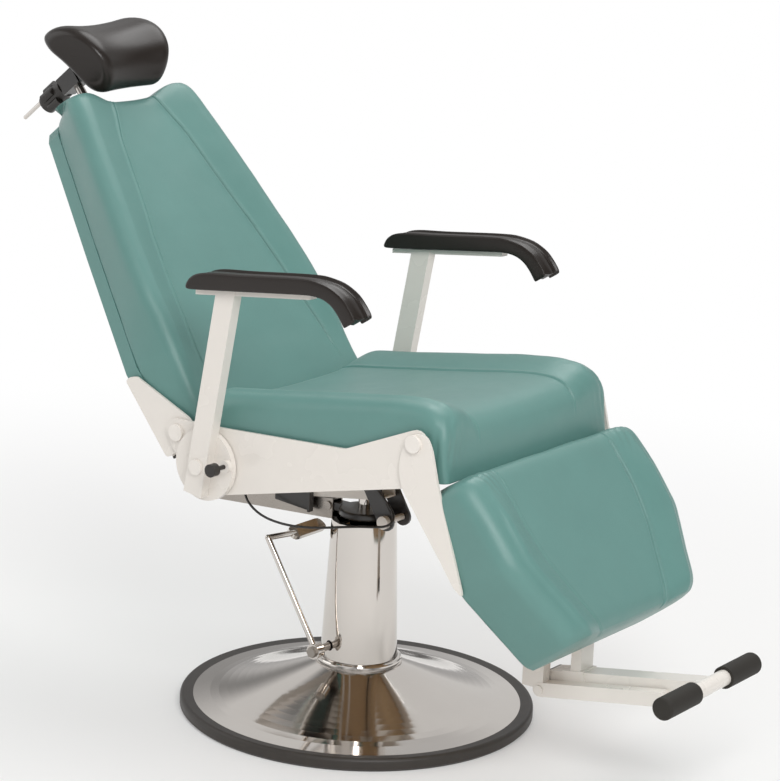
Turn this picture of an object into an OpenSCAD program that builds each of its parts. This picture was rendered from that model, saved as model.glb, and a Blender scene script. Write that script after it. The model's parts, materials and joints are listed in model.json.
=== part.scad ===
// Hydraulic examination chair: round base, lift column, swivel seat, reclining back with
// a linked leg rest, folding armrests, adjustable headrest and a sliding footrest.
// Millimetres. X points where the sitter faces, Z up, origin on the floor under the column.

/* [Base] */
// Diameter over the rubber rim
base_d = 650; // [600:5:700]
// Height of the rubber rim
rim_h = 24; // [20:1:30]
// Width of the rubber rim
rim_w = 24; // [20:1:28]
// Thickness of the rubber foot under the dish
foot_t = 5; // [3:0.5:7]
// Width of the nearly flat strip inside the rim
strip_w = 31; // [24:1:40]
// Height at which the dish meets the column
dish_h = 92; // [84:1:100]
// Thickness of the chromed dish
dish_t = 2; // [1.5:0.5:3]
// Thickness of the cast iron ballast plate
ballast_t = 17; // [14:1:20]

/* [Column] */
// Height of the top edge of the tapered cover
cover_top_h = 360; // [350:1:370]
// Diameter of the cover at its foot
cover_foot_d = 142; // [138:1:148]
// Diameter of the cover at its top
cover_top_d = 119; // [114:1:122]
// Thickness of the cover
cover_t = 1.5; // [1:0.25:2.5]
// Height of the chromed collar at the foot of the cover
collar_h = 12; // [8:1:16]
// Diameter of the lift ram
ram_d = 52; // [46:1:56]
// Outer diameter of the pump cylinder
pump_d = 90; // [84:1:92]
// Diameter of the pump shaft
pump_shaft_d = 14; // [12:1:16]
// Height of the pump shaft
pump_shaft_h = 130; // [120:1:140]

/* [Pedal] */
// Diameter of the pedal rod
pedal_d = 11; // [9:0.5:13]
// Reach of the pedal behind the pump shaft
pedal_reach = 118; // [110:1:124]
// Rise of the pedal above the pump shaft
pedal_rise = 188; // [180:1:192]
// Width of the flattened tread
tread_w = 27; // [22:1:30]
// Thickness of the flattened tread
tread_t = 8; // [6:0.5:10]

/* [Seat frame] */
// Height of the seat datum on the column axis
seat_h = 480; // [476:1:500]
// Tilt of the seat
seat_tilt = 8.4; // [6:0.2:9]
// Width over the two side plates
seat_w = 528; // [500:2:560]
// Thickness of the side and hinge plates
plate_t = 5; // [4:0.5:6]
// Distance of the back hinge behind the datum
back_pivot_x = 215; // [210:1:225]
// Height of the back and leg hinges over the datum
hinge_h = 80; // [76:1:84]
// Distance of the leg hinge in front of the datum
leg_pivot_x = 306; // [300:1:312]
// Distance of the arm hinge behind the datum
arm_pivot_x = 148; // [144:1:152]
// Height of the arm hinge over the datum
arm_pivot_h = 27; // [22:1:30]
// Depth of the seat from its back end to the front of the roll
seat_front_x = 354; // [344:1:360]
// Thickness of the boards under the upholstery
board_t = 12; // [9:1:15]
// Height of the cross tubes
cross_h = 20; // [16:1:22]
// Width of the cross tubes
cross_w = 25; // [20:1:30]

/* [Upholstery] */
// Height of the seat panel over the seat board
seat_pad_h = 84; // [76:1:90]
// Rise of the side bolsters over the panel
bolster_h = 18; // [12:1:22]
// Thickness of the back cushion
back_pad_t = 70; // [62:1:74]
// Length of the backrest over its hinge
back_len = 656; // [600:4:680]
// Depth of the rear cover of the backrest
shell_t = 30; // [28:1:34]
// Wall of the rear cover
shell_wall = 2.5; // [2:0.25:3]
// Thickness of the leg cushion
leg_pad_t = 105; // [95:1:110]
// Length of the leg rest from its hinge
leg_len = 415; // [400:1:430]

/* [Rest position] */
// Lean of the backrest from upright
back_lean = 39.3; // [36:0.1:42]
// Lean of the leg rest from upright
leg_lean = 36.5; // [34:0.1:39]
// Lean of the arm posts
arm_lean = 9.5; // [8:0.1:11]
// Rise of the footrest tube
foot_rise = 10; // [8:0.5:12]

/* [Armrests] */
// Length of the arm pads
arm_pad_len = 370; // [350:1:390]
// Width of the arm pads
arm_pad_w = 52; // [46:1:60]
// Height of the underside of the pad over the arm hinge
arm_pad_h = 311; // [300:1:320]
// Depth of the arm post
arm_post_d = 40; // [36:1:44]
// Width of the arm post
arm_post_w = 20; // [18:1:24]
// Radius of the round hinge plate of the arm
arm_disc_r = 64; // [60:1:66]
// Thickness of the round hinge plate of the arm
arm_disc_t = 10.7; // [8:0.1:12]

/* [Footrest] */
// Height of the sliding footrest tube
slide_h = 30; // [26:1:34]
// Width of the sliding footrest tube
slide_w = 40; // [36:1:44]
// Length of the sliding footrest tube
slide_len = 297; // [285:1:310]
// Diameter of the foot grips
grip_d = 39; // [34:1:42]
// Distance between the outer ends of the foot grips
grip_span = 306; // [290:2:320]
// Length of one foot grip
grip_len = 101; // [90:1:110]

/* [Headrest] */
// Height of the head pad
head_h = 155; // [140:1:165]
// Depth of the head pad
head_t = 104; // [94:1:110]
// Width of the head pad
head_w = 200; // [180:2:220]
// Diameter of the headrest post
head_post_d = 18; // [16:1:19]
// Height of the head hinge over the top of the backrest
head_rise = 89; // [85:1:94]

/* [Hidden] */
$fn = 48;

// Fits
seat_gap = 0.3;
run_gap = 0.05;
face_gap = 0.15;
cut = 1;
reach = 400;

// Colours
chrome = [0.78, 0.78, 0.8];
steel = [0.6, 0.6, 0.62];
cream = [0.93, 0.9, 0.86];
black = [0.12, 0.11, 0.1];
vinyl = [0.44, 0.64, 0.6];
iron = [0.3, 0.3, 0.32];
wood = [0.76, 0.62, 0.42];
dark_pu = [0.24, 0.2, 0.18];

// Base
base_r = base_d / 2;
skirt_r = base_r - rim_w;
strip_z = rim_h - dish_t;
strip_rise = 4;
cone_r = skirt_r - strip_w;
cover_foot_r = cover_foot_d / 2;
cover_top_r = cover_top_d / 2;
neck_w = 9;
lip_w = 5;
neck_r = cover_foot_r + neck_w;
lip_r = cover_foot_r - lip_w;
rim_lip = 16;
rim_round = 7;
dish_steps = 12;
dish_curve_share = 1.25;
flange_r = 110;
flange_t = 12;
bolt_ring_r = 90;
bolt_count = 6;
bolt_d = 10;
bolt_head_d = 17;
bolt_head_h = 7;
flange_z = ballast_t;
collar_w = 8;

// Pump and ram
ram_r = ram_d / 2;
cover_over_pump = 15;
pump_top = cover_top_h - cover_over_pump;
pump_r = pump_d / 2;
piston_lip = 4;
bore_r = ram_r + piston_lip;
bush_t = 10;
bush_h = 27;
oil_h = 31;
ram_z = flange_z + flange_t + oil_h;
piston_h = 25;
ram_over_cover = 2;
ram_top = cover_top_h + ram_over_cover;
spigot_r = 15;
spigot_h = 16;
shaft_x = -18;
shaft_r = pump_shaft_d / 2;
boss_wall = 10;
boss_r = shaft_r + boss_wall;
boss_y = 56;
shaft_in_y = 46;
shaft_hole_r = shaft_r + lip_w / 2;
hub_y = 98;
hub_w = 18;
hub_wall = 7;
hub_r = shaft_r + hub_wall;
hex_d = 20;
hex_w = 6;

// Pedal
pedal_y = hub_y + hub_w / 2;
pedal_r = pedal_d / 2;
tread_len = 96;
tread_tip_y = 55;
tread_angle = 31;
tread_round = 12;
bend = [shaft_x - pedal_reach, -pedal_y, pump_shaft_h + pedal_rise];

// Swivel head and carrier
head_over_cover = 6;
head_z = cover_top_h + head_over_cover;
head_disc_h = 14;
head_top = head_z + head_disc_h;
head_disc_r = 47;
head_round = 4;
head_hub_r = 30;
beam_w = 30;
beam_wall = 3;
beam_x = 62;
beam_len = 283;
beam_front_drop = 10;
beam_rear_drop = 28;
stand_drop = 2;
pin_over_cover = 13;
beam_front_z = cover_top_h - beam_front_drop;
beam_front_h = 38;
beam_rear_z = cover_top_h - beam_rear_drop;
beam_rear_h = 29;
lug_len = 84;
lug_w = beam_w - 2 * beam_wall - 2 * seat_gap;
beam_pin_r = 5;
beam_pin_x = 72;
pin_head_h = 3;
stand_x = 185;
stand_len = 85;
stand_t = 5;
carrier_w = 45.4;
stand_foot_h = 12;
stand_low_z = cover_top_h - stand_drop;
stand_rib_w = 7;
keel_low = 78;
keel_h = 30;
keel_wall = 3;
keel_rear = 125;
keel_len = 165;
neck_post_r = 12;
front_plate_w = 34;
front_pin_x = 67;
front_pin_z = cover_top_h + pin_over_cover;
front_pin_r = 6;
front_cap_r = 12;
front_cap_h = 10;
carrier_face = carrier_w / 2 + face_gap;

// Seat frame
side_face = seat_w / 2;
side_in = side_face - plate_t;
cross_top = 34;
cross_low = cross_top - cross_h;
cross_wall = 2;
rear_cross_x = -110;
mid_cross_x = -5;
front_cross_x = 260;
plate_low = 4;
rear_lobe_r = 25;
arm_lobe_r = 60;
front_lobe_r = 22;
board_side_gap = 6;
board_half = side_in - board_side_gap;
board_rear_x = -155;
roll_t = 24;
board_front_x = seat_front_x - roll_t;
pad_low = cross_top + board_t + seat_gap;
back_pivot = [-back_pivot_x, hinge_h];
leg_hinge_rise = 2;
leg_pivot = [leg_pivot_x, hinge_h + leg_hinge_rise];
arm_pivot = [-arm_pivot_x, arm_pivot_h];
pivot_r = 6;
pivot_cap_r = 15;
pivot_cap_h = 6;

// Travel of the back and leg rest, in degrees
recline_back = 58;
recline_up = 20;
crank_lean = (recline_back - recline_up) / 2;

// Backrest
head_pivot_h = back_len + head_rise;
board_back_t = 10;
shell_rear = -52.8;
shell_front = shell_rear + shell_t;
wrap_t = 8;
pad_back = shell_front + board_back_t + seat_gap;
pad_front = pad_back + back_pad_t - seat_gap;
tube_deep = 27;
tube_wide = 20;
tube_low = -26.5;
tube_high = 130;
tube_rear = shell_rear + shell_wall + seat_gap;
tube_front = tube_rear + tube_deep - seat_gap;
back_side_gap = 7.5;
back_half = side_in - back_side_gap;
tube_out = back_half - shell_wall - seat_gap;
bracket_face = side_in - seat_gap;
bracket_t = 4.7;
spring_crank = 90;
sync_crank = 115;
sync_y = 42;
sync_t = 6;
sync_h = 16;
sync_pin_r = 5;
lug_t = 4;
lug_in = 8;
socket_r = 12;
socket_len = 160;
post_depth = 14.8;
post_x = shell_rear + post_depth;
post_len = 235;
head_post_r = head_post_d / 2;
back_end_r = 57;
seat_end_r = 60;

// Leg rest
leg_rear = -61.6;
leg_pad_back = leg_rear + board_t + seat_gap;
leg_pad_front = leg_pad_back + leg_pad_t - seat_gap;
leg_top = 87;
leg_face = side_face + seat_gap + face_gap;
leg_side_gap = 3;
leg_half = side_face - leg_side_gap;
leg_end_half = 190;
leg_taper = 257;
flange_in = 30;

// Armrests
washer_t = 2;
washer_r = 30;
arm_face = side_face + washer_t + 2 * face_gap;
arm_tube_y = arm_face + arm_disc_t;
arm_mid_y = arm_tube_y + arm_post_w / 2;
arm_bolt_r = 8;
arm_cap_r = 14;
arm_cap_h = 5;
arm_tube_low = 52;
arm_bar_t = 8;
knob_x = 54;
knob_z = 9;
latch_r = 4;
latch_house_r = 11;
latch_house_h = 11;
knob_r = 11.5;
knob_len = 15;
knob_lead = 34;
knob_y = arm_tube_y + knob_lead;
pad_round = 9;

// Footrest, in the frame of the sliding tube
foot_drop = 34;
foot_down = leg_len + foot_drop;
foot_back = 160;
guide_wall = 2;
guide_x = 28;
guide_len = 42;
rail_h = 25;
rail_w = 24;
rail_len = 250;
rail_x = -21;
rail_z = -11;
cross_tube_r = 14;
cross_tube_lead = 5;
cross_tube_x = slide_len + cross_tube_lead;
cross_tube_z = 19;
post_w = 20;
plug_t = 4;

// Shapes
function sized(shares, w, h) = [for (p = shares) [p[0] * w, p[1] * h]];
function arc(c, r, a0, a1, n = 8) =
  [for (i = [0:n]) let (a = a0 + (a1 - a0) * i / n) [c[0] + r * cos(a), c[1] + r * sin(a)]];
function bent(p, q, s, t) = (1 - t) * (1 - t) * p + 2 * (1 - t) * t * q + t * t * s;
function rounded(pts, r, n = 3) = [
  for (i = [0:len(pts) - 1])
    let (b = pts[i])
    let (u = pts[(i + len(pts) - 1) % len(pts)] - b)
    let (v = pts[(i + 1) % len(pts)] - b)
    let (c = min(r, 0.45 * norm(u), 0.45 * norm(v)))
    for (k = [0:n]) bent(b + u / norm(u) * c, b, b + v / norm(v) * c, k / n)
];
function curved(pts, n = 3) = [
  for (i = [0:len(pts) - 1])
    let (m = len(pts))
    let (p = [for (k = [-1:2]) pts[(i + k + m) % m]])
    for (j = [0:n - 1])
      let (t = j / n)
      p[1] + 0.5 * t * (p[2] - p[0] + t * (2 * p[0] - 5 * p[1] + 4 * p[2] - p[3]
      + t * (3 * p[1] - p[0] - 3 * p[2] + p[3])))
];

module plate(pts, y, t) translate([0, y + t, 0]) rotate([90, 0, 0]) linear_extrude(t) polygon(pts);
module bar_y(r, y0, y1) translate([0, y0, 0]) rotate([-90, 0, 0]) cylinder(r = r, h = y1 - y0);
module bar_x(r, x0, x1) translate([x0, 0, 0]) rotate([0, 90, 0]) cylinder(r = r, h = x1 - x0);
module rod(a, b, r) {
  d = b - a;
  translate(a) rotate([0, acos(d[2] / norm(d)), atan2(d[1], d[0])]) cylinder(r = r, h = norm(d));
}
module box(x0, x1, y0, y1, z0, z1) translate([x0, y0, z0]) cube([x1 - x0, y1 - y0, z1 - z0]);
module both_sides() {
  children();
  mirror([0, 1, 0]) children();
}
module skin(rings) {
  n = len(rings[0]);
  m = len(rings);
  sides = [for (j = [0:m - 2], i = [0:n - 1])
    [j * n + i, j * n + (i + 1) % n, (j + 1) * n + (i + 1) % n, (j + 1) * n + i]];
  ends = [[for (i = [n - 1:-1:0]) i], [for (i = [0:n - 1]) (m - 1) * n + i]];
  polyhedron(points = [for (ring = rings) each ring], faces = concat(sides, ends), convexity = 6);
}

// Frames of the moving groups, drawn in the rest position
module in_seat() translate([0, 0, seat_h]) rotate([0, -seat_tilt, 0]) children();
module at_seat(p, turn) in_seat() translate([p[0], 0, p[1]]) rotate([0, seat_tilt + turn, 0]) children();
module in_back() at_seat(back_pivot, -back_lean) children();
module in_leg() at_seat(leg_pivot, -leg_lean) children();
module in_arm() at_seat(arm_pivot, arm_lean) children();
module in_pad() at_seat(arm_pivot, 0) children();
module at_foot(turn) in_leg() translate([-foot_back, 0, -foot_down])
  rotate([0, leg_lean + turn, 0]) children();
module in_foot() at_foot(-foot_rise) children();

// Base
function dish_line(drop) = concat(
  [[skirt_r - drop, foot_t], [skirt_r - drop, strip_z - drop]],
  [for (i = [0:dish_steps])
    let (t = i / dish_steps)
    [cone_r + (neck_r - cone_r) * t,
     strip_z + strip_rise - drop + (dish_h - dish_t - strip_z - strip_rise) * pow(t, dish_curve_share)]]
);
module base_dish() color(chrome) rotate_extrude($fn = 96)
  polygon(concat(
    dish_line(0), [[neck_r, dish_h], [lip_r, dish_h], [lip_r, dish_h - dish_t]],
    [for (i = [dish_steps + 2:-1:0]) dish_line(dish_t)[i]]));

module base_rim() color(black) rotate_extrude($fn = 96)
  polygon(concat(
    [[skirt_r - rim_lip, 0], [base_r - foot_t, 0], [base_r, foot_t]],
    arc([base_r - rim_round, rim_h - rim_round], rim_round, 0, 90, 5),
    [[skirt_r + seat_gap, rim_h - dish_t], [skirt_r + seat_gap, foot_t], [skirt_r - rim_lip, foot_t]]));

module ballast_plate() color(iron) difference() {
  cylinder(r = skirt_r - rim_lip - seat_gap, h = ballast_t, $fn = 96);
  base_bolt_ring() cylinder(r = bolt_d / 2 + face_gap, h = ballast_t);
}
module base_bolt_ring() for (i = [0:bolt_count - 1])
  rotate([0, 0, 360 * i / bolt_count]) translate([bolt_ring_r, 0, foot_t]) children();

module base_bolts() color(steel) base_bolt_ring() {
  cylinder(r = bolt_d / 2, h = ballast_t + flange_t - foot_t);
  translate([0, 0, ballast_t + flange_t - foot_t]) cylinder(d = bolt_head_d, h = bolt_head_h, $fn = 6);
}

module pump_cylinder() color(iron) difference() {
  union() {
    translate([0, 0, flange_z]) cylinder(r = flange_r, h = flange_t);
    translate([0, 0, flange_z]) cylinder(r = pump_r, h = pump_top - flange_z);
    translate([shaft_x, 0, pump_shaft_h]) bar_y(boss_r, -boss_y, -bore_r - cut);
  }
  translate([0, 0, flange_z + flange_t]) cylinder(r = bore_r, h = reach);
  translate([0, 0, pump_top - bush_h]) cylinder(r = ram_r + bush_t + face_gap, h = bush_h + cut);
  translate([shaft_x, 0, pump_shaft_h]) bar_y(shaft_r + run_gap, -boss_y - cut, -shaft_in_y);
  base_bolt_ring() cylinder(r = bolt_d / 2 + face_gap, h = ballast_t + flange_t + cut);
}

module ram_bush() color("goldenrod") difference() {
  translate([0, 0, pump_top - bush_h]) cylinder(r = ram_r + bush_t, h = bush_h);
  translate([0, 0, pump_top - bush_h - cut]) cylinder(r = ram_r + run_gap, h = bush_h + 2 * cut);
}

module column_cover() color(chrome) difference() {
  rotate_extrude($fn = 96) polygon([
    [cover_foot_r - cover_t, dish_h], [cover_foot_r, dish_h], [cover_top_r, cover_top_h],
    [cover_top_r - bush_t, cover_top_h], [cover_top_r - bush_t, cover_top_h - 2 * cover_t],
    [cover_top_r - cover_t, cover_top_h - 2 * cover_t]]);
  translate([shaft_x, 0, pump_shaft_h]) bar_y(shaft_hole_r, -cover_foot_d, 0);
}

module column_collar() color(chrome) rotate_extrude($fn = 96)
  polygon(concat(
    [[cover_foot_r + seat_gap, dish_h], [cover_foot_r + collar_w, dish_h]],
    arc([cover_foot_r + collar_w - collar_h / 2, dish_h + collar_h / 2], collar_h / 2, 0, 90, 4),
    [[cover_foot_r + seat_gap, dish_h + collar_h]]));

// Pump lever
module pump_shaft() color(steel) translate([shaft_x, 0, pump_shaft_h]) {
  bar_y(shaft_r, -hub_y - hub_w, -shaft_in_y - face_gap);
  translate([0, -hub_y - hub_w, 0]) rotate([90, 0, 0]) cylinder(d = hex_d, h = hex_w, $fn = 6);
}

module pump_pedal() color(chrome) {
  difference() {
    translate([shaft_x, 0, pump_shaft_h]) bar_y(hub_r, -hub_y - hub_w, -hub_y);
    translate([shaft_x, 0, pump_shaft_h]) bar_y(shaft_r + face_gap, -hub_y - hub_w - cut, -hub_y + cut);
  }
  difference() {
    rod([shaft_x, -pedal_y, pump_shaft_h], bend, pedal_r);
    translate([shaft_x, 0, pump_shaft_h]) bar_y(hub_r - 2 * cut, -hub_y - hub_w - cut, -hub_y + cut);
  }
  translate(bend) sphere(r = pedal_r + seat_gap);
  rod(bend, [bend[0], tread_tip_y - tread_len + tread_round, bend[2] - tread_t], pedal_r);
  translate([bend[0], tread_tip_y - tread_len / 2, bend[2] - tread_t])
    rotate([0, tread_angle, 0]) translate([0, 0, -tread_t / 2]) linear_extrude(tread_t)
    polygon(rounded([
      [-tread_w / 2, -tread_len / 2], [tread_w / 2, -tread_len / 2],
      [tread_w / 2, tread_len / 2], [-tread_w / 2, tread_len / 2]], tread_round));
}

// Lift
module lift_ram() color(chrome) {
  translate([0, 0, ram_z]) cylinder(r = ram_r, h = ram_top - ram_z);
  translate([0, 0, ram_z]) cylinder(r = bore_r - run_gap, h = piston_h);
  translate([0, 0, ram_top]) cylinder(r = spigot_r, h = spigot_h);
}

// Swivel carrier
module swivel_head() color(black) difference() {
  union() {
    rotate_extrude($fn = 96) polygon(concat(
      [[0, ram_top + seat_gap], [head_hub_r, ram_top + seat_gap], [head_hub_r, head_z]],
      arc([head_disc_r - head_round, head_z + head_round], head_round, -90, 0, 3),
      arc([head_disc_r - head_round, head_top - head_round], head_round, 0, 90, 3),
      [[0, head_top]]));
    box(-lug_len, -head_disc_r + head_round, -lug_w / 2, lug_w / 2, head_z, head_top);
  }
  translate([0, 0, ram_top]) cylinder(r = spigot_r + run_gap, h = spigot_h + seat_gap);
  translate([-beam_pin_x, 0, head_z + head_disc_h / 2]) bar_y(beam_pin_r + face_gap, -beam_w, beam_w);
}

module neck_post() color(chrome) difference() {
  translate([0, 0, head_top]) cylinder(r = neck_post_r, h = keel_h);
  in_seat() box(-keel_rear, keel_rear, -reach, reach, -keel_low, 0);
}

function beam_side(w) = [
  [-beam_x + w / 2, beam_front_z + w], [-beam_x + w / 2, beam_front_z + beam_front_h - w],
  [-beam_x - beam_len + w, beam_rear_z + beam_rear_h - w], [-beam_x - beam_len + w, beam_rear_z + w]
];
module support_beam() color(steel) difference() {
  plate(beam_side(0), -beam_w / 2, beam_w);
  plate(beam_side(beam_wall), -beam_w / 2 + beam_wall, beam_w - 2 * beam_wall);
  translate([-beam_pin_x, 0, head_z + head_disc_h / 2]) bar_y(beam_pin_r + face_gap, -beam_w, beam_w);
}

module beam_pin() color(steel) translate([-beam_pin_x, 0, head_z + head_disc_h / 2]) {
  bar_y(beam_pin_r, -beam_w / 2 - face_gap, beam_w / 2 + face_gap);
  both_sides() translate([0, beam_w / 2 + face_gap, 0]) bar_y(beam_pin_r + pin_head_h, 0, pin_head_h);
}

function beam_top(x) = beam_front_z + beam_front_h
  + (beam_rear_z + beam_rear_h - beam_front_z - beam_front_h) * (-beam_x - x) / beam_len;
function under_tubes(x) = seat_h + x * tan(seat_tilt) + cross_low / cos(seat_tilt);
module rear_stand() color(black) {
  front = -stand_x + stand_len;
  difference() {
    plate([
      [-stand_x, beam_top(-stand_x)], [front - cut, beam_top(front - cut)],
      [front - cut, beam_top(front) + stand_foot_h], [-stand_x, beam_top(-stand_x) + stand_foot_h]],
      -carrier_face - cut, 2 * carrier_face + 2 * cut);
    in_seat() box(-keel_rear - seat_gap, reach, -reach, reach, -keel_low - seat_gap, reach);
  }
  both_sides() {
    plate([
      [-stand_x, stand_low_z + stand_rib_w], [front, stand_low_z], [front, under_tubes(front)],
      [-stand_x, under_tubes(-stand_x)]], carrier_face, stand_t);
    plate([
      [front - stand_t, stand_low_z], [front, stand_low_z], [front, under_tubes(front)],
      [front - stand_t, under_tubes(front - stand_t)]], carrier_face, stand_t + stand_rib_w);
  }
}

module keel_tube() color(cream) in_seat() difference() {
  box(-keel_rear, keel_len - keel_rear, -carrier_w / 2, carrier_w / 2, -keel_low, keel_h - keel_low);
  box(-keel_rear - cut, keel_len - keel_rear + cut, -carrier_w / 2 + keel_wall, carrier_w / 2 - keel_wall,
      keel_wall - keel_low, keel_h - keel_low - keel_wall);
}

front_foot = [front_pin_x, front_pin_z];
front_head = [mid_cross_x * cos(seat_tilt) - cross_low * sin(seat_tilt),
              seat_h + mid_cross_x * sin(seat_tilt) + cross_low * cos(seat_tilt)];
front_lean = atan2(front_foot[0] - front_head[0], front_head[1] - front_foot[1]);
module front_plates() color(black) difference() {
  both_sides() translate([front_foot[0], 0, front_foot[1]]) rotate([0, -front_lean, 0])
    plate(concat(
      arc([0, 0], front_plate_w / 2, 180, 360),
      [[front_plate_w / 2, norm(front_head - front_foot) + front_plate_w],
       [-front_plate_w / 2, norm(front_head - front_foot) + front_plate_w]]), carrier_face, stand_t);
  in_seat() box(-reach, reach, -reach, reach, cross_low, reach);
  translate([front_foot[0], 0, front_foot[1]]) bar_y(front_pin_r + face_gap, -reach, reach);
}

module plate_pin() color(cream) translate([front_foot[0], 0, front_foot[1]]) {
  end = carrier_face + stand_t + face_gap;
  bar_y(front_pin_r, -end, end + pin_head_h);
  bar_y(front_cap_r, -end - front_cap_h, -end);
  bar_y(front_pin_r + pin_head_h, end, end + 2 * pin_head_h);
}

// Seat
seat_side_shares = [[0.9, 1.18], [0.52, 0.815], [0.49, 0.815], [-0.36, 1.12]];
module seat_side() difference() {
  plate(concat(
    arc(back_pivot, rear_lobe_r, 80, 200),
    arc(arm_pivot, arm_lobe_r, 200, 292),
    [[front_cross_x + cross_w / 2, plate_low]],
    arc(leg_pivot, front_lobe_r, -60, 110),
    sized(seat_side_shares, leg_pivot[0], leg_pivot[1])), side_in, plate_t);
  for (p = [back_pivot, leg_pivot]) translate([p[0], 0, p[1]]) bar_y(pivot_r + face_gap, 0, reach);
  translate([arm_pivot[0], 0, arm_pivot[1]]) bar_y(arm_bolt_r + face_gap, 0, reach);
  translate([arm_pivot[0], 0, arm_pivot[1]]) rotate([0, seat_tilt, 0])
    translate([knob_x, 0, knob_z]) bar_y(latch_r + face_gap, 0, reach);
}
module side_plate_left() color(cream) in_seat() seat_side();
module side_plate_right() color(cream) in_seat() mirror([0, 1, 0]) seat_side();

spring_eye_back = 15;
spring_eye_x = front_cross_x - spring_eye_back;
module cross_tubes() color(cream) in_seat() {
  for (x = [rear_cross_x, mid_cross_x, front_cross_x]) difference() {
    box(x - cross_w / 2, x + cross_w / 2, -side_in, side_in, cross_low, cross_top);
    box(x - cross_w / 2 + cross_wall, x + cross_w / 2 - cross_wall, -side_in - cut, side_in + cut,
        cross_low + cross_wall, cross_top - cross_wall);
  }
  both_sides() difference() {
    plate(concat(
      [[front_cross_x + cross_w / 4, cross_low], [spring_eye_x - spring_eye_r, cross_low]],
      arc([spring_eye_x, 0], spring_eye_r, 180, 330)), spring_eye_w / 2 + face_gap, lug_t);
    translate([spring_eye_x, 0, 0]) bar_y(spring_pin_r + face_gap, 0, reach);
  }
  lever_lugs();
}

module lever_lugs() translate([mid_cross_x, lever_y, 0]) {
  for (side = [-1, 1]) difference() {
    plate(concat([[lever_h, cross_low], [-lever_h, cross_low]], arc([0, 0], lever_h, 180, 360)),
          side * (lever_w / 2 + face_gap + lug_t / 2) - lug_t / 2, lug_t);
    bar_y(lever_pin_r - cut, -reach, reach);
  }
  bar_y(lever_pin_r, -lever_w / 2 - face_gap - lug_t, lever_w / 2 + face_gap + lug_t);
}

module seat_board() color(wood) in_seat()
  box(board_rear_x, board_front_x, -board_half, board_half, cross_top, cross_top + board_t);

seat_pad_top = pad_low + seat_pad_h;
seat_end_high = 11;
seat_rear_top = back_pivot[0]
  + (seat_end_r - (seat_pad_top - back_pivot[1]) * sin(seat_end_high)) / cos(seat_end_high);
function seat_front(h) = [
  [seat_front_x, pad_low - board_t - cross_h], [seat_front_x, pad_low + seat_pad_h / 3],
  [seat_front_x - board_t, pad_low + 0.62 * seat_pad_h],
  [seat_front_x - 3 * board_t, pad_low + 0.9 * seat_pad_h],
  [seat_front_x - 6 * board_t, pad_low + seat_pad_h + h * 0.7]
];
function seat_profile(h) = concat(
  [[board_front_x + cut, pad_low], [board_front_x + cut, pad_low - board_t - cross_h]],
  seat_front(h),
  [[seat_front_x - 11 * board_t, seat_pad_top + h], [rear_cross_x / 2, seat_pad_top + h * 0.85],
   [seat_rear_top, seat_pad_top + h * 0.6]],
  arc(back_pivot, seat_end_r, seat_end_high, -asin((back_pivot[1] - pad_low) / seat_end_r), 6)
);
crease_y = 185;
module seat_cushion() color(vinyl) in_seat() {
  plate(seat_profile(0), -board_half + cut, 2 * (board_half - cut));
  both_sides() plate(seat_profile(bolster_h), crease_y, board_half - cut - crease_y);
}

module pivot_bolts() color(cream) in_seat() both_sides() {
  translate([back_pivot[0], 0, back_pivot[1]]) {
    bar_y(pivot_r, bracket_face - bracket_t - face_gap, side_face + face_gap);
    bar_y(pivot_cap_r, side_face + face_gap, side_face + face_gap + pivot_cap_h);
  }
  translate([leg_pivot[0], 0, leg_pivot[1]]) {
    bar_y(pivot_r, side_in - pin_head_h, leg_face + plate_t + face_gap);
    bar_y(pivot_cap_r, leg_face + plate_t + face_gap, leg_face + plate_t + face_gap + pivot_cap_h);
  }
}

module arm_bolts() color(cream) in_seat() translate([arm_pivot[0], 0, arm_pivot[1]]) both_sides() {
  bar_y(arm_bolt_r, side_in - face_gap, arm_tube_y + arm_post_w + face_gap);
  bar_y(arm_cap_r, side_in - face_gap - arm_cap_h, side_in - face_gap);
  bar_y(arm_cap_r, arm_tube_y + arm_post_w + face_gap, arm_tube_y + arm_post_w + face_gap + arm_cap_h);
}

module arm_washers() color(black) in_seat() translate([arm_pivot[0], 0, arm_pivot[1]]) both_sides()
  difference() {
    bar_y(washer_r, side_face + face_gap, side_face + face_gap + washer_t);
    bar_y(arm_bolt_r + face_gap, side_face, side_face + 2 * washer_t);
  }

// Release cable, from the rear stand round under the seat to the release lever
cable_r = 2.25;
cable_sides = 8;
cable_path = [
  [-192, -30, 390], [-208, -40, 398], [-228, -50, 395], [-233, -60, 378], [-220, -68, 363],
  [-191, -75, 348], [-154, -80, 341], [-103, -85, 342], [-58, -85, 348], [-13, -85, 358],
  [46, -75, 371], [78, -62, 372], [96, -52, 378], [99, -44, 391], [88, -42, 405], [74, -46, 424],
  [54, -54, 446], [30, -60, 464]
];
function path_at(i) = cable_path[min(max(i, 0), len(cable_path) - 1)];
function path_point(i, t) =
  let (a = path_at(i - 1), b = path_at(i), c = path_at(i + 1), d = path_at(i + 2))
  b + 0.5 * t * (c - a + t * (2 * a - 5 * b + 4 * c - d + t * (3 * b - a - 3 * c + d)));
cable_split = 4;
cable_line = concat(
  [for (i = [0:len(cable_path) - 2], k = [0:cable_split - 1]) path_point(i, k / cable_split)],
  [path_at(len(cable_path))]
);
function cable_dir(i) =
  let (d = cable_line[min(i + 1, len(cable_line) - 1)] - cable_line[max(i - 1, 0)]) d / norm(d);
function cable_side(i) =
  let (s = cross(cable_dir(i), [0, 1, 0.05])) s / norm(s);
function cable_ring(i, r) =
  let (s = cable_side(i), u = cross(s, cable_dir(i)))
  [for (k = [0:cable_sides - 1])
    let (a = 360 * k / cable_sides)
    cable_line[i] + r * (cos(a) * s + sin(a) * u)];
module release_cable() color(black) skin([for (i = [0:len(cable_line) - 1]) cable_ring(i, cable_r)]);

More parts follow.
